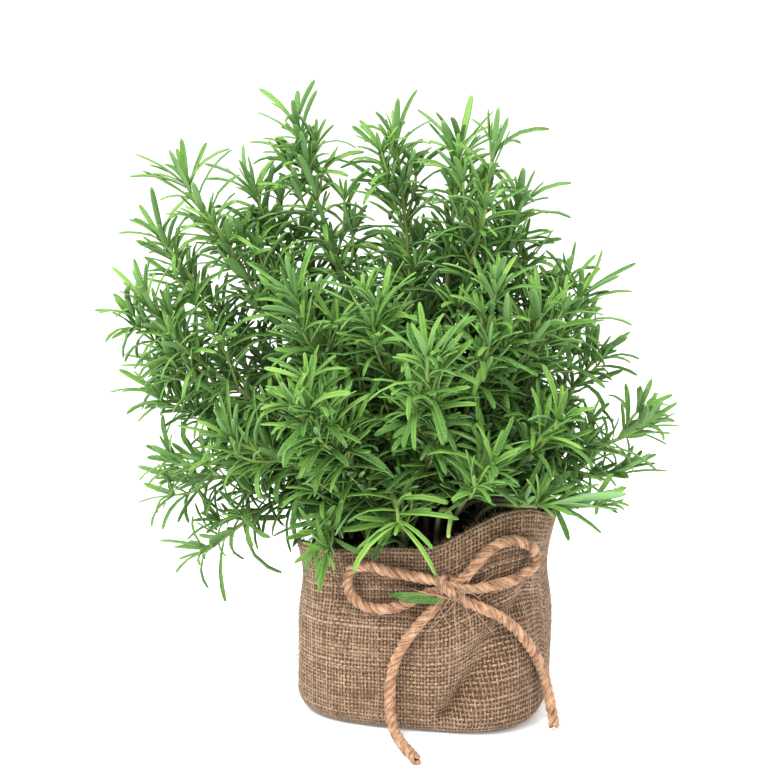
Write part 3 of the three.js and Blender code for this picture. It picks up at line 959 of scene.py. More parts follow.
def sweep_hairs(loft: Loft, starts: np.ndarray, outs: np.ndarray, rng: np.random.Generator,
                lengths: tuple[float, float], stations: int, coarse: float = 1.0) -> None:
    """Adds fine curved fibres.

    Args:
        loft: The mesh that takes them.
        starts: Where they leave the surface.
        outs: The way they set off.
        rng: The source of unevenness.
        lengths: The shortest and the longest.
        stations: Rings in each.
        coarse: How thick they are beside the finest.
    """
    count = len(starts)
    length = rng.uniform(*lengths, count)
    bend = unit(rng.normal(size=(count, 3))) * rng.uniform(0.3, 1.3, count)[:, None]
    share = np.linspace(0, 1, stations)[None, :, None]
    path = starts[:, None] + length[:, None, None] * (outs[:, None] * share + 0.5 * bend[:, None] * share ** 2)
    path[..., 2] = np.maximum(path[..., 2], 0.4 * MM)
    up = np.tile(unit(rng.normal(size=3)), (count, stations, 1))
    thick = np.linspace(0.085, 0.04, stations)[None, :] * MM * coarse * np.ones((count, 1))
    rings = tube_rings(path, up, thick, thick, 3)
    along = np.tile(np.linspace(0, 1, stations + 2), (count, 1)) * length[:, None]
    tone = np.tile(rng.uniform(0.6, 1.1, count)[:, None] + 0.4 * (coarse - 1), (1, stations + 2))
    loft.sweep(rings, (path[:, 0], path[:, -1]), along, (0, count), {"tone": tone, "hollow": tone * 0})


# ---------------------------------------------------------------------------
# Sack
# ---------------------------------------------------------------------------


@dataclass
class Sack:
    """The burlap sack: a thin dark cloth, painted shade for the gaps of the weave, with every warp and weft yarn woven
    through it.
    """

    pitch: float = 1.66 * MM
    row_pitch: float = 1.92 * MM
    inset: float = 1.15
    roll: float = 1.7
    hem: float = 6.0
    warp_wide: float = 0.52
    weft_wide: float = 0.68
    yarn_thick: float = 0.28
    yarn_lift: float = 0.20 * MM
    yarn_sides: int = 5
    foot_clear: float = 1.1

    def __post_init__(self) -> None:
        """Works out how angle follows distance round the sack, and the yarn counts."""
        angle = np.linspace(0.0, 360.0, 1441)
        reach = FORM.reach(angle, np.float64(50.0), self.inset)
        turn = np.radians(angle)
        steps = np.hypot(np.diff(reach * np.cos(turn)), np.diff(reach * np.sin(turn)))
        self.round_mm = np.concatenate([[0.0], np.cumsum(steps)])
        self.angles = angle
        self.girth = self.round_mm[-1]
        self.warps = 2 * int(round(self.girth * MM / self.pitch / 2))
        self.rows = int(round(FORM.rim * MM / self.row_pitch))

    def angle_at(self, share: np.ndarray) -> np.ndarray:
        """Returns the angle at a share of the way round."""
        return np.interp((share % 1.0) * self.girth, self.round_mm, self.angles)

    def folds(self, angle: np.ndarray, z: np.ndarray) -> np.ndarray:
        """Returns how far the cloth falls in from its frame, in millimetres, where it creases."""
        def valley(angle0: float, z0: float, lean: float, wide: float, tall: float, deep: float) -> np.ndarray:
            """A long soft crease through a point, leaning by degrees per millimetre of height."""
            off = (((angle - angle0 - lean * (z - z0) + 540.0) % 360.0) - 180.0) / wide
            up = (z - z0) / tall
            return deep * np.exp(-off * off - up * up)
        depth = valley(301.0, 20.0, 0.62, 6.5, 26.0, 7.5)
        depth = depth + valley(316.0, 52.0, 0.85, 6.0, 20.0, 3.6) - valley(318.0, 20.0, 0.3, 9.0, 16.0, 1.6)
        depth = depth + valley(232.0, 70.0, -0.35, 6.0, 24.0, 1.5)
        depth = depth + valley(251.0, 18.0, 0.4, 8.0, 20.0, 1.6)
        depth = depth + valley(205.0, 50.0, 0.2, 5.0, 30.0, 1.8)
        depth = depth + valley(338.0, 62.0, -0.3, 5.0, 26.0, 1.6)
        depth = depth + valley(60.0, 55.0, 0.3, 6.0, 34.0, 2.2) + valley(120.0, 48.0, -0.3, 7.0, 32.0, 2.0)
        depth = depth + valley(150.0, 70.0, 0.3, 5.0, 24.0, 1.6) + valley(25.0, 60.0, -0.3, 5.0, 26.0, 1.6)
        gather = np.exp(-(((z - 68.0) / 14.0) ** 2)) * 0.5 * (1 + np.sin(np.radians(angle * 11.0)))
        ripple = 0.35 * np.sin(np.radians(angle * 7.0 + z * 2.3)) + 0.3 * np.sin(np.radians(angle * 4.0 - z * 3.1))
        return depth + gather * 0.8 + ripple

    def surface(self, share: np.ndarray, up: np.ndarray) -> tuple[np.ndarray, np.ndarray]:
        """Finds points of the cloth's middle.

        Args:
            share: How far round, from 0 to 1.
            up: Millimetres of cloth up from the foot; past the mouth it rolls in and down.

        Returns:
            The points in metres, and the outward normals.
        """
        angle = self.angle_at(share)
        rim = FORM.rim_height(angle)
        wall = rim - self.roll - 0.5
        wavy = 0.5 * np.sin(np.radians(angle * 9.0)) + 0.35 * np.sin(np.radians(angle * 23.0 + 40.0))
        wall = wall - 0.4 + wavy * 0.5
        arc = np.clip((up - wall) / self.roll, 0.0, np.pi)
        down = np.maximum(up - wall - np.pi * self.roll, 0.0)
        z = np.minimum(up, wall) + self.roll * np.sin(arc) - down
        inset = self.inset + self.roll * (1 - np.cos(arc)) + self.folds(angle, z) * smooth_step(z, 0.0, 12.0)
        reach = FORM.reach(angle, z, inset)
        turn = np.radians(angle)
        points = np.stack([reach * np.cos(turn), reach * np.sin(turn), z], axis=-1) * MM
        return points, np.stack([np.cos(turn), np.sin(turn), np.zeros_like(turn)], axis=-1)

    def normals(self, share: np.ndarray, up: np.ndarray) -> np.ndarray:
        """Returns the cloth's outward normals, from its slope."""
        step = 0.4
        east, _ = self.surface(share + step / self.girth, up)
        west, _ = self.surface(share - step / self.girth, up)
        high, _ = self.surface(share, up + step)
        low, _ = self.surface(share, up - step)
        return unit(np.cross(east - west, high - low))

    def top(self, share: np.ndarray) -> np.ndarray:
        """Returns the millimetres of cloth from the foot to the hem's raw edge."""
        rim = FORM.rim_height(self.angle_at(share))
        return rim - self.roll - 0.9 + np.pi * self.roll + self.hem

    def skew(self, share: np.ndarray, up: np.ndarray) -> np.ndarray:
        """Returns how far a weft row is pulled up from level, as the cloth is drawn round the pot."""
        angle = self.angle_at(share)
        corner = 7.5 * smooth_step(angle, 292.0, 335.0) * (1 - smooth_step(angle, 345.0, 360.0))
        left = 2.5 * (1 - smooth_step(angle, 195.0, 262.0)) * smooth_step(angle, 180.0, 195.0)
        return (corner + left) * np.sin(np.pi * np.clip(up / 92.0, 0.0, 1.0))

    def weft_height(self, share: np.ndarray, row: np.ndarray) -> np.ndarray:
        """Returns the millimetres of cloth up to a weft row, counted from the foot."""
        rim = FORM.rim_height(self.angle_at(share))
        up = self.foot_clear + row / self.rows * (rim - self.foot_clear)
        return up + self.skew(share, up)

    def build(self) -> None:
        """Builds the yarns, the loose fibres and the dark cloth of painted shade between them."""
        pieces = self.build_yarns()
        pieces.append(self.build_fuzz())
        cloth = self.build_cloth()

    def build_cloth(self) -> bpy.types.Object:
        """Builds the dark cloth, painted shade between the yarns, as a thin closed skin, with its bottom."""
        turns, levels = 240, 60
        share = (np.arange(turns) / turns)[None, :].repeat(levels, axis=0)
        level = np.linspace(0.0, 1.0, levels)[:, None]
        points, _ = self.surface(share, self.foot_clear + level * (self.top(share) - self.foot_clear - 0.5))
        rings = [points[i] for i in range(levels)]
        foot = points[0]
        floor = [foot * (s, s, 1.0) for s in (0.15, 0.45, 0.75, 0.93)]
        rings = floor + rings
        vertices = np.concatenate([[(0.0, 0.0, foot[0, 2])], *rings])
        faces = [(0, 1 + (i + 1) % turns, 1 + i) for i in range(turns)]
        for row in range(len(rings) - 1):
            low = 1 + row * turns
            for i in range(turns):
                j = (i + 1) % turns
                faces.append((low + i, low + j, low + turns + j, low + turns + i))
        mesh = bpy.data.meshes.new("sack_shade_cloth")
        mesh.from_pydata(vertices.tolist(), [], faces)
        piece = bpy.data.objects.new("sack_shade_cloth", mesh)
        bpy.context.scene.collection.objects.link(piece)
        select_only(piece)
        bpy.ops.object.shade_smooth()
        solid = piece.modifiers.new("thickness", "SOLIDIFY")
        solid.thickness = 0.35 * MM
        solid.offset = 0.0
        bpy.ops.object.modifier_apply(modifier=solid.name)
        # The cloth's dark colour is painted shade seen through the open weave.
        dress(piece, Finish.BACKING, ("burlap_sack",))
        return piece

    def build_yarns(self) -> list[bpy.types.Object]:
        """Weaves the warp and weft yarns, as a front and a back piece of each."""
        rng = np.random.default_rng(5)
        pieces = []
        half = self.warps // 2
        for title, first in (("back", 0), ("front", half)):
            pieces.append(self.warp_piece(f"sack_warp_{title}", np.arange(first, first + half), rng))
        for title, start in (("back", 0.0), ("front", 0.5)):
            pieces.append(self.weft_piece(f"sack_weft_{title}", start, rng))
        return pieces

    def slub(self, count: int, stations: int, rng: np.random.Generator) -> np.ndarray:
        """Returns how thick each yarn is along its length, beside its usual size."""
        knots = rng.normal(0.0, 1.0, (count, stations // 6 + 3))
        place = np.linspace(0, knots.shape[1] - 1, stations)
        low = np.floor(place).astype(int).clip(0, knots.shape[1] - 2)
        part = place - low
        wave = knots[:, low] * (1 - part) + knots[:, low + 1] * part
        return (1.0 + 0.10 * rng.normal(size=(count, 1))) * (1.0 + 0.09 * wave)

    def warp_piece(self, name: str, index: np.ndarray, rng: np.random.Generator) -> bpy.types.Object:
        """Builds upright yarns."""
        rows = int(self.rows * (1 + (self.hem + 2.8) / FORM.rim))
        stations = 2 * rows + 1
        share = ((index + 0.5) / self.warps)[:, None].repeat(stations, axis=1)
        row = np.linspace(0.0, rows, stations)[None, :]
        up = self.weft_height(share, row)
        share = share + (rng.normal(0, 0.07, (len(index), 1)) + 0.10 * np.sin(up / 9.0 + index[:, None])) / self.warps
        normal = self.normals(share, up)
        place, _ = self.surface(share, up)
        phase = np.pi * (row - 0.5 + index[:, None])
        path = place + normal * (self.yarn_lift * np.cos(phase))[..., None]
        size = self.slub(len(index), stations, rng) * MM
        rings = tube_rings(path, normal, size * self.warp_wide, size * self.yarn_thick, self.yarn_sides)
        return self.yarn_piece(name, path, rings, np.cos(phase), rng)

    def weft_piece(self, name: str, start: float, rng: np.random.Generator) -> bpy.types.Object:
        """Builds level yarns that run half way round."""
        per_warp = 2
        stations = self.warps // 2 * per_warp + 1
        step = np.arange(stations)[None, :] / (stations - 1)
        share = start + step * 0.5 + np.zeros((self.rows, 1))
        row = np.arange(self.rows)[:, None] + 0.5
        up = self.weft_height(share, row) + rng.normal(0, 0.12, (self.rows, 1))
        up = up + 0.14 * np.sin(share * 160.0 + row * 1.7)
        normal = self.normals(share, up)
        place, _ = self.surface(share, up)
        phase = np.pi * (share * self.warps - 0.5 + row - 0.5)
        path = place - normal * (self.yarn_lift * np.cos(phase))[..., None]
        size = self.slub(self.rows, stations, rng) * MM
        rings = tube_rings(path, normal, size * self.weft_wide, size * self.yarn_thick, self.yarn_sides)
        return self.yarn_piece(name, path, rings, -np.cos(phase), rng)

    def yarn_piece(self, name: str, path: np.ndarray, rings: np.ndarray, lift: np.ndarray,
                   rng: np.random.Generator) -> bpy.types.Object:
        """Closes the yarns and gives each its tone, and the painted shade where it dips under the crossing yarns."""
        count = len(path)
        steps = np.linalg.norm(np.diff(path, axis=1), axis=2)
        run = np.concatenate([np.zeros((count, 1)), np.cumsum(steps, axis=1)], axis=1)
        along = np.concatenate([run[:, :1], run, run[:, -1:]], axis=1) + rng.uniform(0, 1, (count, 1))
        tone = np.repeat(rng.normal(0.5, 0.2, (count, 1)).clip(0, 1), along.shape[1], axis=1)
        # Painted shade: up to 12% darker where the yarn passes under a crossing yarn.
        sunk_shade = 0.12 * (0.5 - 0.5 * lift)
        hollow = np.concatenate([sunk_shade[:, :1], sunk_shade, sunk_shade[:, -1:]], axis=1)
        loft = Loft()
        loft.sweep(rings, (path[:, 0], path[:, -1]), along, (0, count), {"tone": tone, "hollow": hollow})
        piece = loft.build(name)
        dress(piece, Finish.BURLAP)
        return piece

    def build_fuzz(self) -> bpy.types.Object:
        """Adds the fibres that stand up from the cloth, thickest along the mouth."""
        rng = np.random.default_rng(8)
        mouth, wall = 900, 1300
        share = rng.uniform(0, 1, mouth + wall)
        rim = FORM.rim_height(self.angle_at(share))
        at_mouth = np.arange(mouth + wall) < mouth
        up = np.where(at_mouth, rim + rng.uniform(-2.5, 2.5, mouth + wall),
                      2.0 + rng.uniform(0, 1, mouth + wall) * (rim - 6.0))
        normal = self.normals(share, up)
        place, _ = self.surface(share, up)
        loft = Loft()
        outs = unit(normal * 0.55 + unit(rng.normal(size=normal.shape)))
        outs = np.where((np.sum(outs * normal, axis=1) < 0.1)[:, None], unit(outs + normal), outs)
        sweep_hairs(loft, place + normal * 0.5 * MM, outs, rng, (1.2 * MM, 3.6 * MM), 4)
        piece = loft.build("sack_fuzz")
        dress(piece, Finish.BURLAP)
        return piece


# ---------------------------------------------------------------------------
# Pot and soil
# ---------------------------------------------------------------------------


@dataclass
class Pot:
    """The black nursery pot, shaped from one cylinder."""

    wall: float = 1.2 * MM
    collar_height: float = 10.0 * MM
    body_share: float = 43.5 / 47.2
    foot_share: float = 34.0 / 47.2

    def build(self) -> None:
        """Builds the pot in the CAD pot's place."""
        low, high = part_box("nursery_pot")
        collar = (high.x - low.x) / 2
        bpy.ops.object.select_all(action="DESELECT")
        bpy.ops.mesh.primitive_circle_add(vertices=96, radius=collar * self.foot_share,
                                          location=(0, 0, low.z), fill_type="TRIFAN")
        pot = bpy.context.object
        pot.name = "nursery_pot_shell"
        levels = (
            (high.z - self.collar_height - 1.0 * MM, self.body_share),
            (high.z - self.collar_height, 1.0 - 0.6 / 47.2),
            (high.z - 1.6 * MM, 1.0 - 0.1 / 47.2),
            (high.z, 1.0),
        )
        bpy.ops.object.mode_set(mode="EDIT")
        bpy.ops.mesh.select_all(action="SELECT")
        bpy.ops.mesh.normals_make_consistent(inside=True)
        bpy.ops.mesh.select_all(action="DESELECT")
        bpy.ops.mesh.select_non_manifold()
        height, share = low.z, self.foot_share
        for next_height, next_share in levels:
            bpy.ops.mesh.extrude_region_move(TRANSFORM_OT_translate={"value": (0, 0, next_height - height)})
            scale = next_share / share
            bpy.ops.transform.resize(value=(scale, scale, 1.0), center_override=(0, 0, next_height))
            height, share = next_height, next_share
        bpy.ops.object.mode_set(mode="OBJECT")
        bpy.ops.object.transform_apply(location=True, rotation=True, scale=True)
        solid = pot.modifiers.new("wall", "SOLIDIFY")
        solid.thickness = self.wall
        solid.offset = -1.0
        solid.use_even_offset = True
        bpy.ops.object.modifier_apply(modifier=solid.name)
        bevel = pot.modifiers.new("edges", "BEVEL")
        bevel.width = 0.35 * MM
        bevel.segments = 2
        bevel.limit_method = "ANGLE"
        bevel.angle_limit = math.radians(40.0)
        bpy.ops.object.modifier_apply(modifier=bevel.name)
        bpy.ops.object.mode_set(mode="EDIT")
        bpy.ops.mesh.select_all(action="SELECT")
        bpy.ops.mesh.normals_make_consistent(inside=False)
        bpy.ops.object.mode_set(mode="OBJECT")
        bpy.ops.object.shade_smooth_by_angle(angle=math.radians(35.0))
        dress(pot, Finish.PLASTIC, ("nursery_pot",))


@dataclass
class Soil:
    """The growing medium: an uneven bed with loose crumbs on it."""

    crumbs: int = 420

    def build(self) -> None:
        """Builds the bed and the crumbs in the CAD soil's place."""
        low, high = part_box("potting_soil")
        radius = (high.x - low.x) / 2 - 0.4 * MM
        bpy.ops.object.select_all(action="DESELECT")
        bpy.ops.mesh.primitive_cylinder_add(vertices=64, radius=radius, depth=high.z - low.z - 3 * MM,
                                            location=(0, 0, (high.z + low.z) / 2 - 1.5 * MM),
                                            end_fill_type="TRIFAN")
        bed = bpy.context.object
        bed.name = "potting_soil_bed"
        bpy.ops.object.transform_apply(location=True, rotation=True, scale=True)
        bpy.ops.object.mode_set(mode="EDIT")
        bpy.ops.mesh.select_all(action="DESELECT")
        bpy.ops.object.mode_set(mode="OBJECT")
        top = high.z - 3 * MM
        for polygon in bed.data.polygons:
            polygon.select = polygon.center.z > top - 0.1 * MM
        bpy.ops.object.mode_set(mode="EDIT")
        bpy.ops.mesh.poke()
        bpy.ops.mesh.subdivide(number_cuts=5)
        bpy.ops.object.mode_set(mode="OBJECT")
        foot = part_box("nursery_pot")
        slope = (34.0 / 43.5 - 1.0) / ((foot[1].z - foot[0].z) - 11 * MM)
        for vertex in bed.data.vertices:
            place = vertex.co
            taper = 1.0 + slope * max(foot[1].z - 11 * MM - place.z, 0.0)
            rough = 0.0
            if place.z > top - 0.1 * MM:
                reach = place.to_2d().length / radius
                rough = 2.2 * (1 - reach ** 2) + (1 - reach ** 6) * (
                    1.3 * math.sin(place.x * 410) * math.sin(place.y * 370 + 1)
                    + 0.8 * math.sin(place.x * 930 + place.y * 610)
                    + 0.5 * math.sin(place.y * 1700 - place.x * 400))
            vertex.co = (place.x * taper, place.y * taper, place.z + rough * MM)
        select_only(bed)
        bpy.ops.object.shade_smooth_by_angle(angle=math.radians(40.0))
        dress(bed, Finish.SOIL, ("potting_soil",))
        self.build_crumbs(radius, top)

    def build_crumbs(self, radius: float, top: float) -> None:
        """Scatters crumbs over the bed, each a turned and squashed copy of one."""
        rng = np.random.default_rng(3)
        bpy.ops.object.select_all(action="DESELECT")
        bpy.ops.mesh.primitive_ico_sphere_add(subdivisions=1, radius=1.0)
        pattern = bpy.context.object
        corners = np.array([v.co for v in pattern.data.vertices])
        faces = np.array([p.vertices[:] for p in pattern.data.polygons])
        bpy.data.objects.remove(pattern)
        vertices, polygons = [], []
        for index in range(self.crumbs):
            reach = radius * math.sqrt(rng.uniform(0, 0.94))
            turn = rng.uniform(0, 2 * math.pi)
            size = rng.uniform(0.5, 1.7) * MM
            lumps = corners * rng.uniform(0.7, 1.25, (len(corners), 1)) * rng.uniform(0.6, 1.2, 3)
            height = top + (2.6 * (1 - (reach / radius) ** 2) + rng.uniform(-0.2, 0.9)) * MM
            vertices.append(lumps * size + (reach * math.cos(turn), reach * math.sin(turn), height))
            polygons.append(faces + index * len(corners))
        mesh = bpy.data.meshes.new("soil_crumbs")
        mesh.from_pydata(np.concatenate(vertices).tolist(), [], np.concatenate(polygons).tolist())
        crumbs = bpy.data.objects.new("soil_crumbs", mesh)
        bpy.context.scene.collection.objects.link(crumbs)
        dress(crumbs, Finish.SOIL)


# ---------------------------------------------------------------------------
# Rosemary
# ---------------------------------------------------------------------------


class LeafPattern:
    """One needle leaf, modelled once: crowned halves, a sunken midrib and rolled-under edges."""

    STATIONS = (0.0, 0.08, 0.26, 0.52, 0.78, 0.93, 1.0)
    WIDTHS = (0.24, 0.52, 0.88, 1.0, 0.94, 0.72, 0.26)
    SECTION = ((1.0, -0.14), (0.52, 0.20), (0.0, -0.03), (-0.52, 0.20), (-1.0, -0.14), (-0.74, -0.42),
               (0.0, -0.34), (0.74, -0.42))

    def __init__(self, widths: tuple[float, ...] = WIDTHS) -> None:
        """Models the leaf from a cylinder cut into stations, and keeps its parts.

        Args:
            widths: Its width at each station, beside its widest.
        """
        self.widths = widths
        sides = len(self.SECTION)
        bpy.ops.object.select_all(action="DESELECT")
        bpy.ops.mesh.primitive_cylinder_add(vertices=sides, radius=1.0, depth=1.0, end_fill_type="TRIFAN",
                                            location=(0, 0, 0.5))
        leaf = bpy.context.object
        bpy.ops.object.transform_apply(location=True, rotation=True, scale=True)
        bpy.ops.object.mode_set(mode="EDIT")
        for station in self.STATIONS[1:-1]:
            bpy.ops.mesh.select_all(action="SELECT")
            bpy.ops.mesh.bisect(plane_co=(0, 0, station), plane_no=(0, 0, 1))
        bpy.ops.object.mode_set(mode="OBJECT")
        along, around = [], []
        for vertex in leaf.data.vertices:
            centre = vertex.co.to_2d().length < 0.5
            along.append(vertex.co.z)
            around.append(-1 if centre else round(math.atan2(vertex.co.y, vertex.co.x) / (2 * math.pi) * sides) % sides)
        self.along = np.array(along)
        self.place(np.array(around))
        self.keep_faces(leaf, np.array(around), sides)
        bpy.data.objects.remove(leaf)

    def place(self, around: np.ndarray) -> None:
        """Works out each vertex's share across and above the leaf's line."""
        width = np.interp(self.along, self.STATIONS, self.widths)
        section = np.array(self.SECTION)
        self.across = np.where(around < 0, 0.0, section[around, 0]) * width
        self.above = np.where(around < 0, -0.1, section[around, 1]) * np.sqrt(width)

    def keep_faces(self, leaf: bpy.types.Object, around: np.ndarray, sides: int) -> None:
        """Keeps the faces, their maps and which of them lie underneath."""
        self.faces, self.lay, self.unwrap, self.under = [], [], [], []
        section = np.array(self.SECTION)
        for polygon in leaf.data.polygons:
            corners = list(polygon.vertices)
            turns = [around[c] for c in corners]
            rim = [t for t in turns if t >= 0]
            wrapped = max(rim) - min(rim) > sides / 2
            turns = [(t + sides if wrapped and 0 <= t < sides / 2 else t) for t in turns]
            middle = sum(t for t in turns if t >= 0) / len(rim)
            turns = [middle if t < 0 else t for t in turns]
            self.faces.append(corners)
            self.under.append(1.0 if 4.0 < middle < 8.0 else 0.0)
            for corner, turn in zip(corners, turns):
                centre = around[corner] < 0
                across = 0.0 if centre else section[around[corner], 0]
                self.lay.append((self.along[corner], across))
                self.unwrap.append((0.03 + 0.94 * self.along[corner], 0.06 + 0.88 * turn / (sides + 0.5)))
        self.sizes = np.array([len(f) for f in self.faces])
        self.corners = np.concatenate([np.array(f) for f in self.faces])
        self.lay = np.array(self.lay)
        self.unwrap = np.array(self.unwrap)
        self.under = np.array(self.under)


@dataclass
class Leaves:
    """A growing list of leaves, each a bent copy of the pattern."""

    foot: list[np.ndarray] = field(default_factory=list)
    ahead: list[np.ndarray] = field(default_factory=list)
    upper: list[np.ndarray] = field(default_factory=list)
    length: list[float] = field(default_factory=list)
    width: list[float] = field(default_factory=list)
    bend: list[float] = field(default_factory=list)
    twist: list[float] = field(default_factory=list)
    youth: list[float] = field(default_factory=list)
    tone: list[float] = field(default_factory=list)

    def line(self, index: int, count: int = 5) -> np.ndarray:
        """Returns points along one leaf's midline."""
        share = np.linspace(0.0, 1.0, count)[:, None]
        bend = self.bend[index] if abs(self.bend[index]) > 1e-3 else 1e-3
        run = self.length[index] / bend
        return (self.foot[index] + run * np.sin(bend * share) * self.ahead[index]
                - run * (1 - np.cos(bend * share)) * self.upper[index])

    def drop_last(self) -> None:
        """Takes the newest leaf off again."""
        for values in vars(self).values():
            values.pop()

    def build(self, name: str, pattern: LeafPattern) -> bpy.types.Object:
        """Builds all the leaves as one mesh.

        Args:
            name: The object's name.
            pattern: The leaf to copy.

        Returns:
            The mesh object.
        """
        foot, ahead, upper = (np.array(v)[:, None, :] for v in (self.foot, self.ahead, self.upper))
        length, width, twist = (np.array(v)[:, None] for v in (self.length, self.width, self.twist))
        bend = np.array(self.bend)[:, None]
        bend = np.where(np.abs(bend) < 1e-3, 1e-3, bend)
        turned = bend * pattern.along[None]
        run = (length / bend)[..., None]
        line = foot + run * np.sin(turned)[..., None] * ahead - run * (1 - np.cos(turned))[..., None] * upper
        tangent = np.cos(turned)[..., None] * ahead - np.sin(turned)[..., None] * upper
        above = np.cos(turned)[..., None] * upper + np.sin(turned)[..., None] * ahead
        side = np.cross(tangent, above)
        roll = twist * pattern.along[None]
        across = side * np.cos(roll)[..., None] + above * np.sin(roll)[..., None]
        raised = above * np.cos(roll)[..., None] - side * np.sin(roll)[..., None]
        half = (width / 2)[..., None]
        vertices = line + across * half * pattern.across[None, :, None] + raised * half * pattern.above[None, :, None]
        count, size = len(self.foot), len(pattern.along)
        corners = (pattern.corners[None] + size * np.arange(count)[:, None]).ravel()
        sizes = np.tile(pattern.sizes, count)
        mesh = bpy.data.meshes.new(name)
        mesh.vertices.add(count * size)
        mesh.vertices.foreach_set("co", vertices.astype(np.float32).ravel())
        mesh.loops.add(len(corners))
        mesh.loops.foreach_set("vertex_index", corners.astype(np.int32))
        mesh.polygons.add(len(sizes))
        mesh.polygons.foreach_set("loop_start", np.concatenate([[0], np.cumsum(sizes)[:-1]]).astype(np.int32))
        mesh.polygons.foreach_set("loop_total", sizes.astype(np.int32))
        mesh.update(calc_edges=True)
        lay = mesh.uv_layers.new(name=LAY_MAP)
        lay.data.foreach_set("uv", np.tile(pattern.lay, (count, 1)).astype(np.float32).ravel())
        columns = max(int(math.sqrt(count / 4)), 1)
        rows = math.ceil(count / columns)
        cell = np.stack([np.arange(count) % columns, np.arange(count) // columns], axis=1)
        unwrap = (cell[:, None, :] + pattern.unwrap[None]) / (columns, rows)
        bake = mesh.uv_layers.new(name=BAKE_MAP)
        bake.data.foreach_set("uv", unwrap.astype(np.float32).ravel())
        for title, values in (("youth", self.youth), ("tone", self.tone)):
            data = mesh.attributes.new(title, "FLOAT", "POINT")
            data.data.foreach_set("value", np.repeat(values, size).astype(np.float32))
        under = mesh.attributes.new("under", "FLOAT", "FACE")
        under.data.foreach_set("value", np.tile(pattern.under, count).astype(np.float32))
        piece = bpy.data.objects.new(name, mesh)
        bpy.context.scene.collection.objects.link(piece)
        select_only(piece)
        bpy.ops.object.shade_smooth()
        return piece


@dataclass
class Twig:
    """One stem or side twig: its line, its thickness and how old it is at each end."""

    line: np.ndarray
    radii: tuple[float, float]
    youth: tuple[float, float]


Spot = tuple[float, float, float]
SKYWARD = (0.0, -0.35, 1.0)
BEHIND = (0.0, 0.9, 0.3)


@dataclass(frozen=True)
class Sprig:
    """A twig over the sack's mouth: its route in millimetres, and each leaf's place, way, face and curl."""

    line: tuple[Spot, ...]
    radii: tuple[float, float]
    youth: tuple[float, float]
    leaves: tuple[tuple[float, Spot, Spot, float, float], ...]


HANGING_TIP = Sprig(
    ((-6.4, -50, 121), (-1, -60, 118), (1.4, -66.5, 109.5)), (1.05 * MM, 0.95 * MM), (0.85, 1.0), (
        (0.40, (-0.60, 0.10, 0.75), SKYWARD, 25, 50), (0.40, (0.70, 0.10, 0.70), SKYWARD, 25, 50),
        (0.62, (-0.70, -0.35, 0.50), SKYWARD, 27, 62), (0.62, (0.75, -0.25, 0.45), SKYWARD, 27, 58),
        (0.74, (0.20, -0.50, 0.80), SKYWARD, 22, 50), (0.80, (-0.90, -0.25, 0.30), SKYWARD, 26, 72),
        (0.84, (0.95, -0.20, 0.25), SKYWARD, 30, 28), (0.92, (0.85, -0.35, -0.15), SKYWARD, 22, 50),
        (0.94, (-0.75, -0.50, 0.05), SKYWARD, 20, 80), (0.96, (-0.62, -0.42, -0.22), SKYWARD, 33, 66),
        (0.96, (0.66, -0.36, -0.28), SKYWARD, 31, 60), (1.0, (-0.25, -0.75, 0.35), SKYWARD, 15, 50),
        (1.0, (0.25, -0.70, 0.45), SKYWARD, 13, 40), (1.0, (0.05, -0.85, -0.20), SKYWARD, 9, 20)))
WOODY_TWIG = Sprig(
    ((29, -31, 113), (44, -38.5, 117.2), (58, -43, 118.2), (71, -46, 119)), (1.3 * MM, 1.0 * MM), (-0.1, 0.35), (
        (1.0, (0.95, 0.05, 0.25), BEHIND, 35, 16), (1.0, (0.93, -0.08, 0.10), BEHIND, 32, 20),
        (1.0, (0.45, -0.30, -0.50), SKYWARD, 19, 40), (0.97, (0.90, -0.30, -0.10), SKYWARD, 27, 40),
        (0.97, (0.75, 0.20, 0.60), SKYWARD, 24, 36), (0.86, (0.50, -0.35, 0.75), SKYWARD, 22, 40),
        (0.86, (0.45, 0.55, 0.65), SKYWARD, 24, 30)))


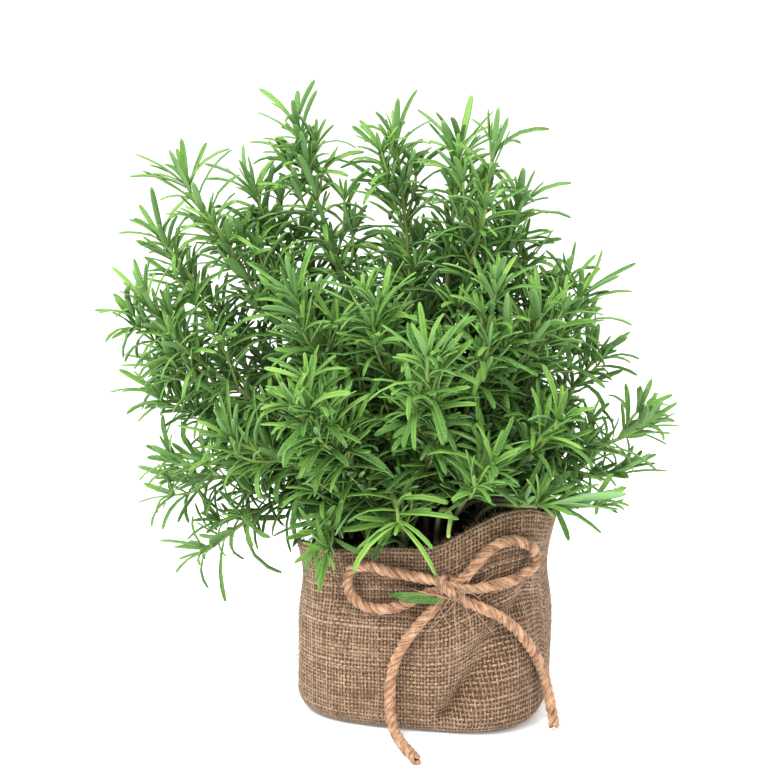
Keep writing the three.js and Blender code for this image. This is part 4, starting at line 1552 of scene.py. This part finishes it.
@dataclass
class Shoot:
    """One rooted shoot, laid out from its CAD solid: where it stands, how far it leans and reaches."""

    name: str
    seed: int
    crown_height: float = 80.0 * MM
    root_height: float = 64.0 * MM
    root_spread: float = 32.0 * MM
    steepest: float = 96.0
    tip_leaf: float = 14.0 * MM
    clear_of_rims: float = 86.0 * MM
    sprawling: float = 76.0

    def __post_init__(self) -> None:
        """Reads the shoot's stand, lean and reach from its CAD solid."""
        points = np.array([v.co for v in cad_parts[self.name].data.vertices])
        rooted = points[np.hypot(points[:, 0], points[:, 1]) < self.root_spread + 2 * MM]
        lowest = rooted[rooted[:, 2].argmin()]
        ring = points[np.linalg.norm(points - lowest, axis=1) < 3.2 * MM]
        stand = np.unique(ring.round(6), axis=0).mean(axis=0)[:2]
        self.azimuth = math.atan2(stand[1], stand[0])
        radius = math.hypot(*stand)
        self.lean = self.steepest * (radius / self.root_spread) ** (1 / 0.85)
        heading = self.toward(self.lean)
        spread = points - (0.0, 0.0, self.crown_height)
        self.reach = float((spread @ heading).max()) - 2.4 * MM
        self.stand = stand
        self.rng = np.random.default_rng(self.seed)
        self.leaves = Leaves()
        self.twigs: list[Twig] = []

    def toward(self, lean: float) -> np.ndarray:
        """Returns the direction at a lean from upright, in degrees, on this shoot's side."""
        tilt = math.radians(lean)
        return np.array((math.cos(self.azimuth) * math.sin(tilt), math.sin(self.azimuth) * math.sin(tilt),
                         math.cos(tilt)))

    def stem_line(self) -> np.ndarray:
        """Returns the stem's line, as the CAD stem runs, with a little natural waver."""
        flat = float(smooth_step(self.lean, 45.0, 82.0))
        root = np.array((*self.stand, self.root_height))
        tip = np.array((0, 0, self.crown_height)) + self.toward(self.lean) * (self.reach - self.tip_leaf)
        rise = (1 - flat) * 0.36 * self.reach + flat * self.clear_of_rims
        start = root + self.toward(0.22 * self.lean) * rise
        finish = tip - self.toward(self.lean * (0.8 + 0.4 * flat)) * 0.34 * self.reach
        share = np.linspace(0, 1, 60)[:, None]
        line = ((1 - share) ** 3 * root + 3 * (1 - share) ** 2 * share * start
                + 3 * (1 - share) * share ** 2 * finish + share ** 3 * tip)
        sway = self.rng.normal(size=3) * 1.6 * MM
        wave = np.sin(share * np.pi * self.rng.uniform(1.6, 2.6)) * smooth_step(share, 0.35, 0.8)
        trim = int(round(2 + 6 * float(smooth_step(self.lean, 35.0, 80.0))))
        return spline(line + sway * wave, 1.5 * MM)[:-trim]

    def grow(self) -> None:
        """Grows the stem, its side twigs and all the leaves."""
        line = self.stem_line()
        if self.lean > self.sprawling and self.toward(90.0)[1] < -0.7:
            line = line[:-9]
        self.twigs.append(Twig(line, (1.5 * MM, 0.9 * MM), (-0.45, 1.0)))
        total = length_of(line)
        bare = 0.2 if total > 0.1 else 0.3
        twist = self.rng.uniform(0, 2 * math.pi)
        place = bare * total
        node = 0
        while place < total:
            share = place / total
            self.add_pair(line, place, twist + node * math.pi / 2, share, 1.0)
            if 0.28 < share < 0.9:
                self.add_side(line, place, twist + (node + 1) * math.pi / 2, share)
            place += (7.2 - 2.4 * float(smooth_step(share, 0.72, 1.0))) * MM * self.rng.uniform(0.85, 1.15)
            node += 1
        self.add_crown(line, twist, 1.0)

    def frame_at(self, line: np.ndarray, place: float, turn: float) -> tuple[np.ndarray, np.ndarray, np.ndarray]:
        """Returns a point of a line, the way along it and a way square to it."""
        spacing = length_of(line) / (len(line) - 1)
        index = int(np.clip(round(place / spacing), 1, len(line) - 2))
        along = unit(line[index + 1] - line[index - 1])
        side = unit(np.cross(along, (0.31, 0.22, 0.92)))
        out = side * math.cos(turn) + np.cross(along, side) * math.sin(turn)
        return line[index], along, out

    @staticmethod
    def turned_up(along: np.ndarray, out: np.ndarray, share: float) -> tuple[np.ndarray, np.ndarray]:
        """Turns a growing tip's direction towards the light, and keeps its side way square to it."""
        risen = unit(along + np.array((0.0, 0.0, share)))
        return risen, unit(out - risen * (out @ risen))

    def add_leaf(self, foot: np.ndarray, along: np.ndarray, out: np.ndarray, opening: float, length: float,
                 bend: float, youth: float) -> None:
        """Adds a leaf if it stays clear of the sack, the pot and the soil, as it is or raised.

        Args:
            foot: Where it leaves the stem.
            along: The stem's direction.
            out: The side that it leaves on.
            opening: Its angle from the stem, in degrees.
            length: Its length in metres.
            bend: How far its tip curls away from the stem's tip, in degrees.
            youth: 0 for an old leaf to 1 for a new one.
        """
        angle = math.radians(opening)
        leaves = self.leaves
        for lift, share in ((0.0, 1.0), (0.9, 0.8)):
            ahead = unit(along * math.cos(angle) + out * math.sin(angle) + np.array((0, 0, lift)))
            upper = along * math.sin(angle) - out * math.cos(angle) + np.array((0, 0, 0.55))
            upper = unit(upper - ahead * (upper @ ahead))
            self.lay_leaf(foot + out * 0.5 * MM, ahead, upper, length * share, bend * share, youth)
            if clear_of_sack(leaves.line(len(leaves.foot) - 1)):
                return
            leaves.drop_last()

    def lay_leaf(self, foot: np.ndarray, ahead: np.ndarray, upper: np.ndarray, length: float, bend: float,
                 youth: float) -> None:
        """Adds a leaf that points a given way, with its upper face to a given side."""
        rng, leaves = self.rng, self.leaves
        leaves.foot.append(foot)
        leaves.ahead.append(ahead)
        leaves.upper.append(upper)
        leaves.length.append(length)
        leaves.width.append((1.25 * MM + length * 0.062) * rng.uniform(0.85, 1.25))
        leaves.bend.append(math.radians(bend))
        leaves.twist.append(rng.normal(0, 0.55))
        leaves.youth.append(float(np.clip(youth + rng.normal(0, 0.07), 0, 1)))
        leaves.tone.append(float(rng.uniform(0, 1)))

    def add_sprig(self, sprig: Sprig) -> None:
        """Adds a twig that leaves this stem and reaches over the sack's mouth, with its own leaves."""
        path = np.array(sprig.line) * MM
        root = self.root_of(path[0])
        line = spline(np.concatenate([root[None], path]), 1.5 * MM)
        self.twigs.append(Twig(line, sprig.radii, sprig.youth))
        for share, way, face, length, bend in sprig.leaves:
            foot, _, _ = self.frame_at(line, share * length_of(line), 0.0)
            ahead = unit(np.array(way))
            upper = unit(np.array(face) - ahead * (np.array(face) @ ahead))
            youth = sprig.youth[0] + (sprig.youth[1] - sprig.youth[0]) * share
            self.lay_leaf(foot, ahead, upper, length * MM, bend, youth)
            if not clear_of_sack(self.leaves.line(len(self.leaves.foot) - 1), gap=False):
                self.leaves.drop_last()

    def root_of(self, point: np.ndarray) -> np.ndarray:
        """Returns the spot on the stem nearest to a point, and nearer than it to the plant's middle."""
        stem = self.twigs[0].line
        inner = stem[np.hypot(stem[:, 0], stem[:, 1]) < math.hypot(point[0], point[1])]
        return inner[np.linalg.norm(inner - point, axis=1).argmin()]

    def add_pair(self, line: np.ndarray, place: float, turn: float, share: float, size: float) -> None:
        """Adds two opposite leaves, and sometimes the small tuft in their axils."""
        rng = self.rng
        turn += rng.normal(0, 0.2)
        foot, along, out = self.frame_at(line, place, turn)
        closing = float(smooth_step(share, 0.7, 1.0))
        along, out = self.turned_up(along, out, 0.45 * closing)
        for way in (1, -1):
            length = (32.0 - 5.0 * closing) * MM * size * rng.uniform(0.66, 1.14)
            opening = 46 - 17 * closing + rng.normal(0, 10)
            bend = 72 - 30 * closing + rng.normal(0, 30)
            youth = 0.16 + 0.5 * float(smooth_step(share, 0.45, 1.0))
            self.add_leaf(foot, along, out * way, opening, length, bend, youth)
            if rng.uniform() < 0.45 and share > 0.3:
                for _ in range(2):
                    self.add_leaf(foot, along, unit(out * way + rng.normal(0, 0.35, 3)), 28 + rng.normal(0, 9),
                                  rng.uniform(10, 20) * MM * size, rng.normal(34, 20), youth + 0.12)

    def add_side(self, line: np.ndarray, place: float, turn: float, share: float) -> None:
        """Sometimes adds a leafy side twig."""
        rng = self.rng
        for way in (1, -1):
            if rng.uniform() > 0.42:
                continue
            foot, along, out = self.frame_at(line, place, turn)
            length = rng.uniform(17, 48) * MM * (1.08 - 0.45 * share)
            ahead = unit(along * 0.75 + out * way * 0.65 + np.array((0, 0, 0.1)))
            lift = unit(along + np.array((0, 0, 0.35)))
            steps = np.linspace(0, 1, 12)[:, None]
            twig = foot + length * (ahead * steps + (lift - ahead) * 0.42 * steps ** 2)
            if not clear_of_sack(twig):
                continue
            self.twigs.append(Twig(twig, (0.85 * MM, 0.6 * MM), (0.55 * share + 0.2, 1.0)))
            spread = rng.uniform(0, math.pi)
            spot, node = 4.5 * MM, 0
            while spot < length - 2 * MM:
                part = spot / length
                base, way_on, side = self.frame_at(twig, spot, spread + node * math.pi / 2)
                for hand in (1, -1):
                    self.add_leaf(base, way_on, side * hand, 46 - 14 * part + rng.normal(0, 9),
                                  (25 - 4 * part) * MM * rng.uniform(0.7, 1.15),
                                  62 - 14 * part + rng.normal(0, 26), 0.3 + 0.25 * share + 0.3 * part)
                spot += rng.uniform(5.0, 7.0) * MM
                node += 1
            self.add_crown(twig, spread, 0.72)

    def add_crown(self, line: np.ndarray, turn: float, size: float) -> None:
        """Adds the upright young leaves round a growing tip."""
        rng = self.rng
        total = length_of(line)
        for tier, (opening, length, count) in enumerate(((36, 26, 2), (24, 22, 2), (12, 15, 2))):
            for index in range(count):
                heading = turn + tier * 0.8 + index * 2 * math.pi / count + rng.normal(0, 0.2)
                foot, along, out = self.frame_at(line, total - (2.4 - tier) * MM, heading)
                along, out = self.turned_up(along, out, 0.7)
                self.add_leaf(foot, along, out, opening + rng.normal(0, 6), length * MM * size * rng.uniform(0.85, 1.2),
                              rng.normal(44, 26) - 12 * tier, 0.64 + 0.12 * tier)

    def build(self, pattern: LeafPattern) -> int:
        """Builds the stem and the leaves in the CAD shoot's place.

        Args:
            pattern: The leaf to copy.

        Returns:
            The number of leaves.
        """
        stem = self.build_stem()
        dress(stem, Finish.STEM, (self.name,))
        if self.leaves.foot:
            leaves = self.leaves.build(self.name + "_leaves", pattern)
            dress(leaves, Finish.LEAF, (self.name,))
        return len(self.leaves.foot)

    def build_stem(self) -> bpy.types.Object:
        """Builds the stem and its twigs from bevelled curves."""
        bpy.ops.object.select_all(action="DESELECT")
        bpy.ops.curve.primitive_nurbs_path_add()
        stem = bpy.context.object
        stem.name = self.name + "_stem"
        curve = stem.data
        curve.splines.clear()
        curve.bevel_depth = 1.0
        curve.bevel_resolution = 1
        curve.use_fill_caps = True
        curve.resolution_u = 1
        youths = []
        for twig in self.twigs:
            line = spline(twig.line, 3.2 * MM)
            run = curve.splines.new("POLY")
            run.points.add(len(line) - 1)
            share = np.linspace(0, 1, len(line))
            radii = twig.radii[0] + (twig.radii[1] - twig.radii[0]) * share
            run.points.foreach_set("co", np.concatenate([line, np.ones((len(line), 1))], axis=1).ravel())
            run.points.foreach_set("radius", radii)
            youths.append((line, twig.youth[0] + (twig.youth[1] - twig.youth[0]) * share))
        select_only(stem)
        bpy.ops.object.convert(target="MESH")
        stem = bpy.context.object
        stem.matrix_world.identity()
        places = np.concatenate([line for line, _ in youths])
        ages = np.concatenate([age for _, age in youths])
        points = np.empty(len(stem.data.vertices) * 3, np.float32)
        stem.data.vertices.foreach_get("co", points)
        nearest = np.linalg.norm(points.reshape(-1, 1, 3) - places[None], axis=2).argmin(axis=1)
        data = stem.data.attributes.new("youth", "FLOAT", "POINT")
        data.data.foreach_set("value", ages[nearest].astype(np.float32))
        bpy.ops.object.shade_smooth()
        return stem


def clear_of_sack(line: np.ndarray, gap: bool = True) -> bool:
    """Tells whether a line keeps off the sack, the pot and the soil.

    Args:
        line: The points to test.
        gap: Whether the open right front of the sack's mouth is kept clear too.
    """
    x, y, z = (line / MM).T
    angle = np.degrees(np.arctan2(y, x)) % 360.0
    out = np.hypot(x, y)
    outside = FORM.reach(angle, np.clip(z, 10.0, 100.0), -1.6)
    in_wall = (out > 43.0) & (out < outside) & (z < FORM.rim_height(angle) + 1.6)
    in_soil = (out <= 43.0) & (z < 78.0)
    on_floor = z < 4.0
    brow = 110.0 + 8.0 * np.exp(-(((angle - 304.0) / 17.0) ** 2)) - 0.23 * (y + 49.0)
    in_gap = (angle > 278.0) & (angle < 345.0) & (out > 12.0) & (z < brow)
    in_gap |= ((angle >= 345.0) | (angle < 50.0)) & (out > 50.0) & (z < 106.0)
    return not bool((in_wall | in_soil | on_floor | (in_gap & gap)).any())


@dataclass
class Rosemary:
    """All the shoots, and the loose leaf on the bow."""

    lying_proud: float = 1.7 * MM

    def build(self) -> None:
        """Builds every shoot that the frame has, and the loose leaf."""
        pattern = LeafPattern()
        names = sorted(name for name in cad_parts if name.startswith("shoot_"))
        shoots = [Shoot(name, 100 + index) for index, name in enumerate(names)]
        for shoot in shoots:
            shoot.grow()
        for sprig in (HANGING_TIP, WOODY_TWIG):
            start = np.array(sprig.line[0]) * MM
            nearest = min(shoots, key=lambda shoot: np.linalg.norm(shoot.root_of(start) - start))
            nearest.add_sprig(sprig)
        total = sum(shoot.build(pattern) for shoot in shoots)
        LOG.info("%d shoots with %d leaves", len(names), total)
        self.build_loose_leaf(LeafPattern((0.10, 0.36, 0.80, 1.0, 0.74, 0.34, 0.05)))

    def build_loose_leaf(self, pattern: LeafPattern) -> None:
        """Builds the broad old leaf that lies on the bow."""
        low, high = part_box("loose_leaf")
        middle = (low + high) / 2
        leaf = Leaves()
        leaf.foot.append(np.array((high.x + 1.5 * MM, middle.y - self.lying_proud, middle.z)))
        leaf.ahead.append(np.array((-1.0, 0.0, 0.02)))
        leaf.upper.append(np.array((0.0, -1.0, 0.0)))
        leaf.length.append(high.x - low.x)
        leaf.width.append(1.15 * (high.z - low.z))
        leaf.bend.append(0.12)
        leaf.twist.append(0.12)
        leaf.youth.append(0.3)
        leaf.tone.append(0.5)
        dress(leaf.build("loose_rosemary_leaf", pattern), Finish.LEAF, ("loose_leaf",))


def main() -> None:
    """Builds the camera and the cords first, then everything else."""
    logging.basicConfig(level=logging.INFO, format="%(name)s: %(message)s")
    Studio().build()
    Bow().build()
    Sack().build()
    Pot().build()
    Soil().build()
    Rosemary().build()


if __name__ == "__main__":
    main()
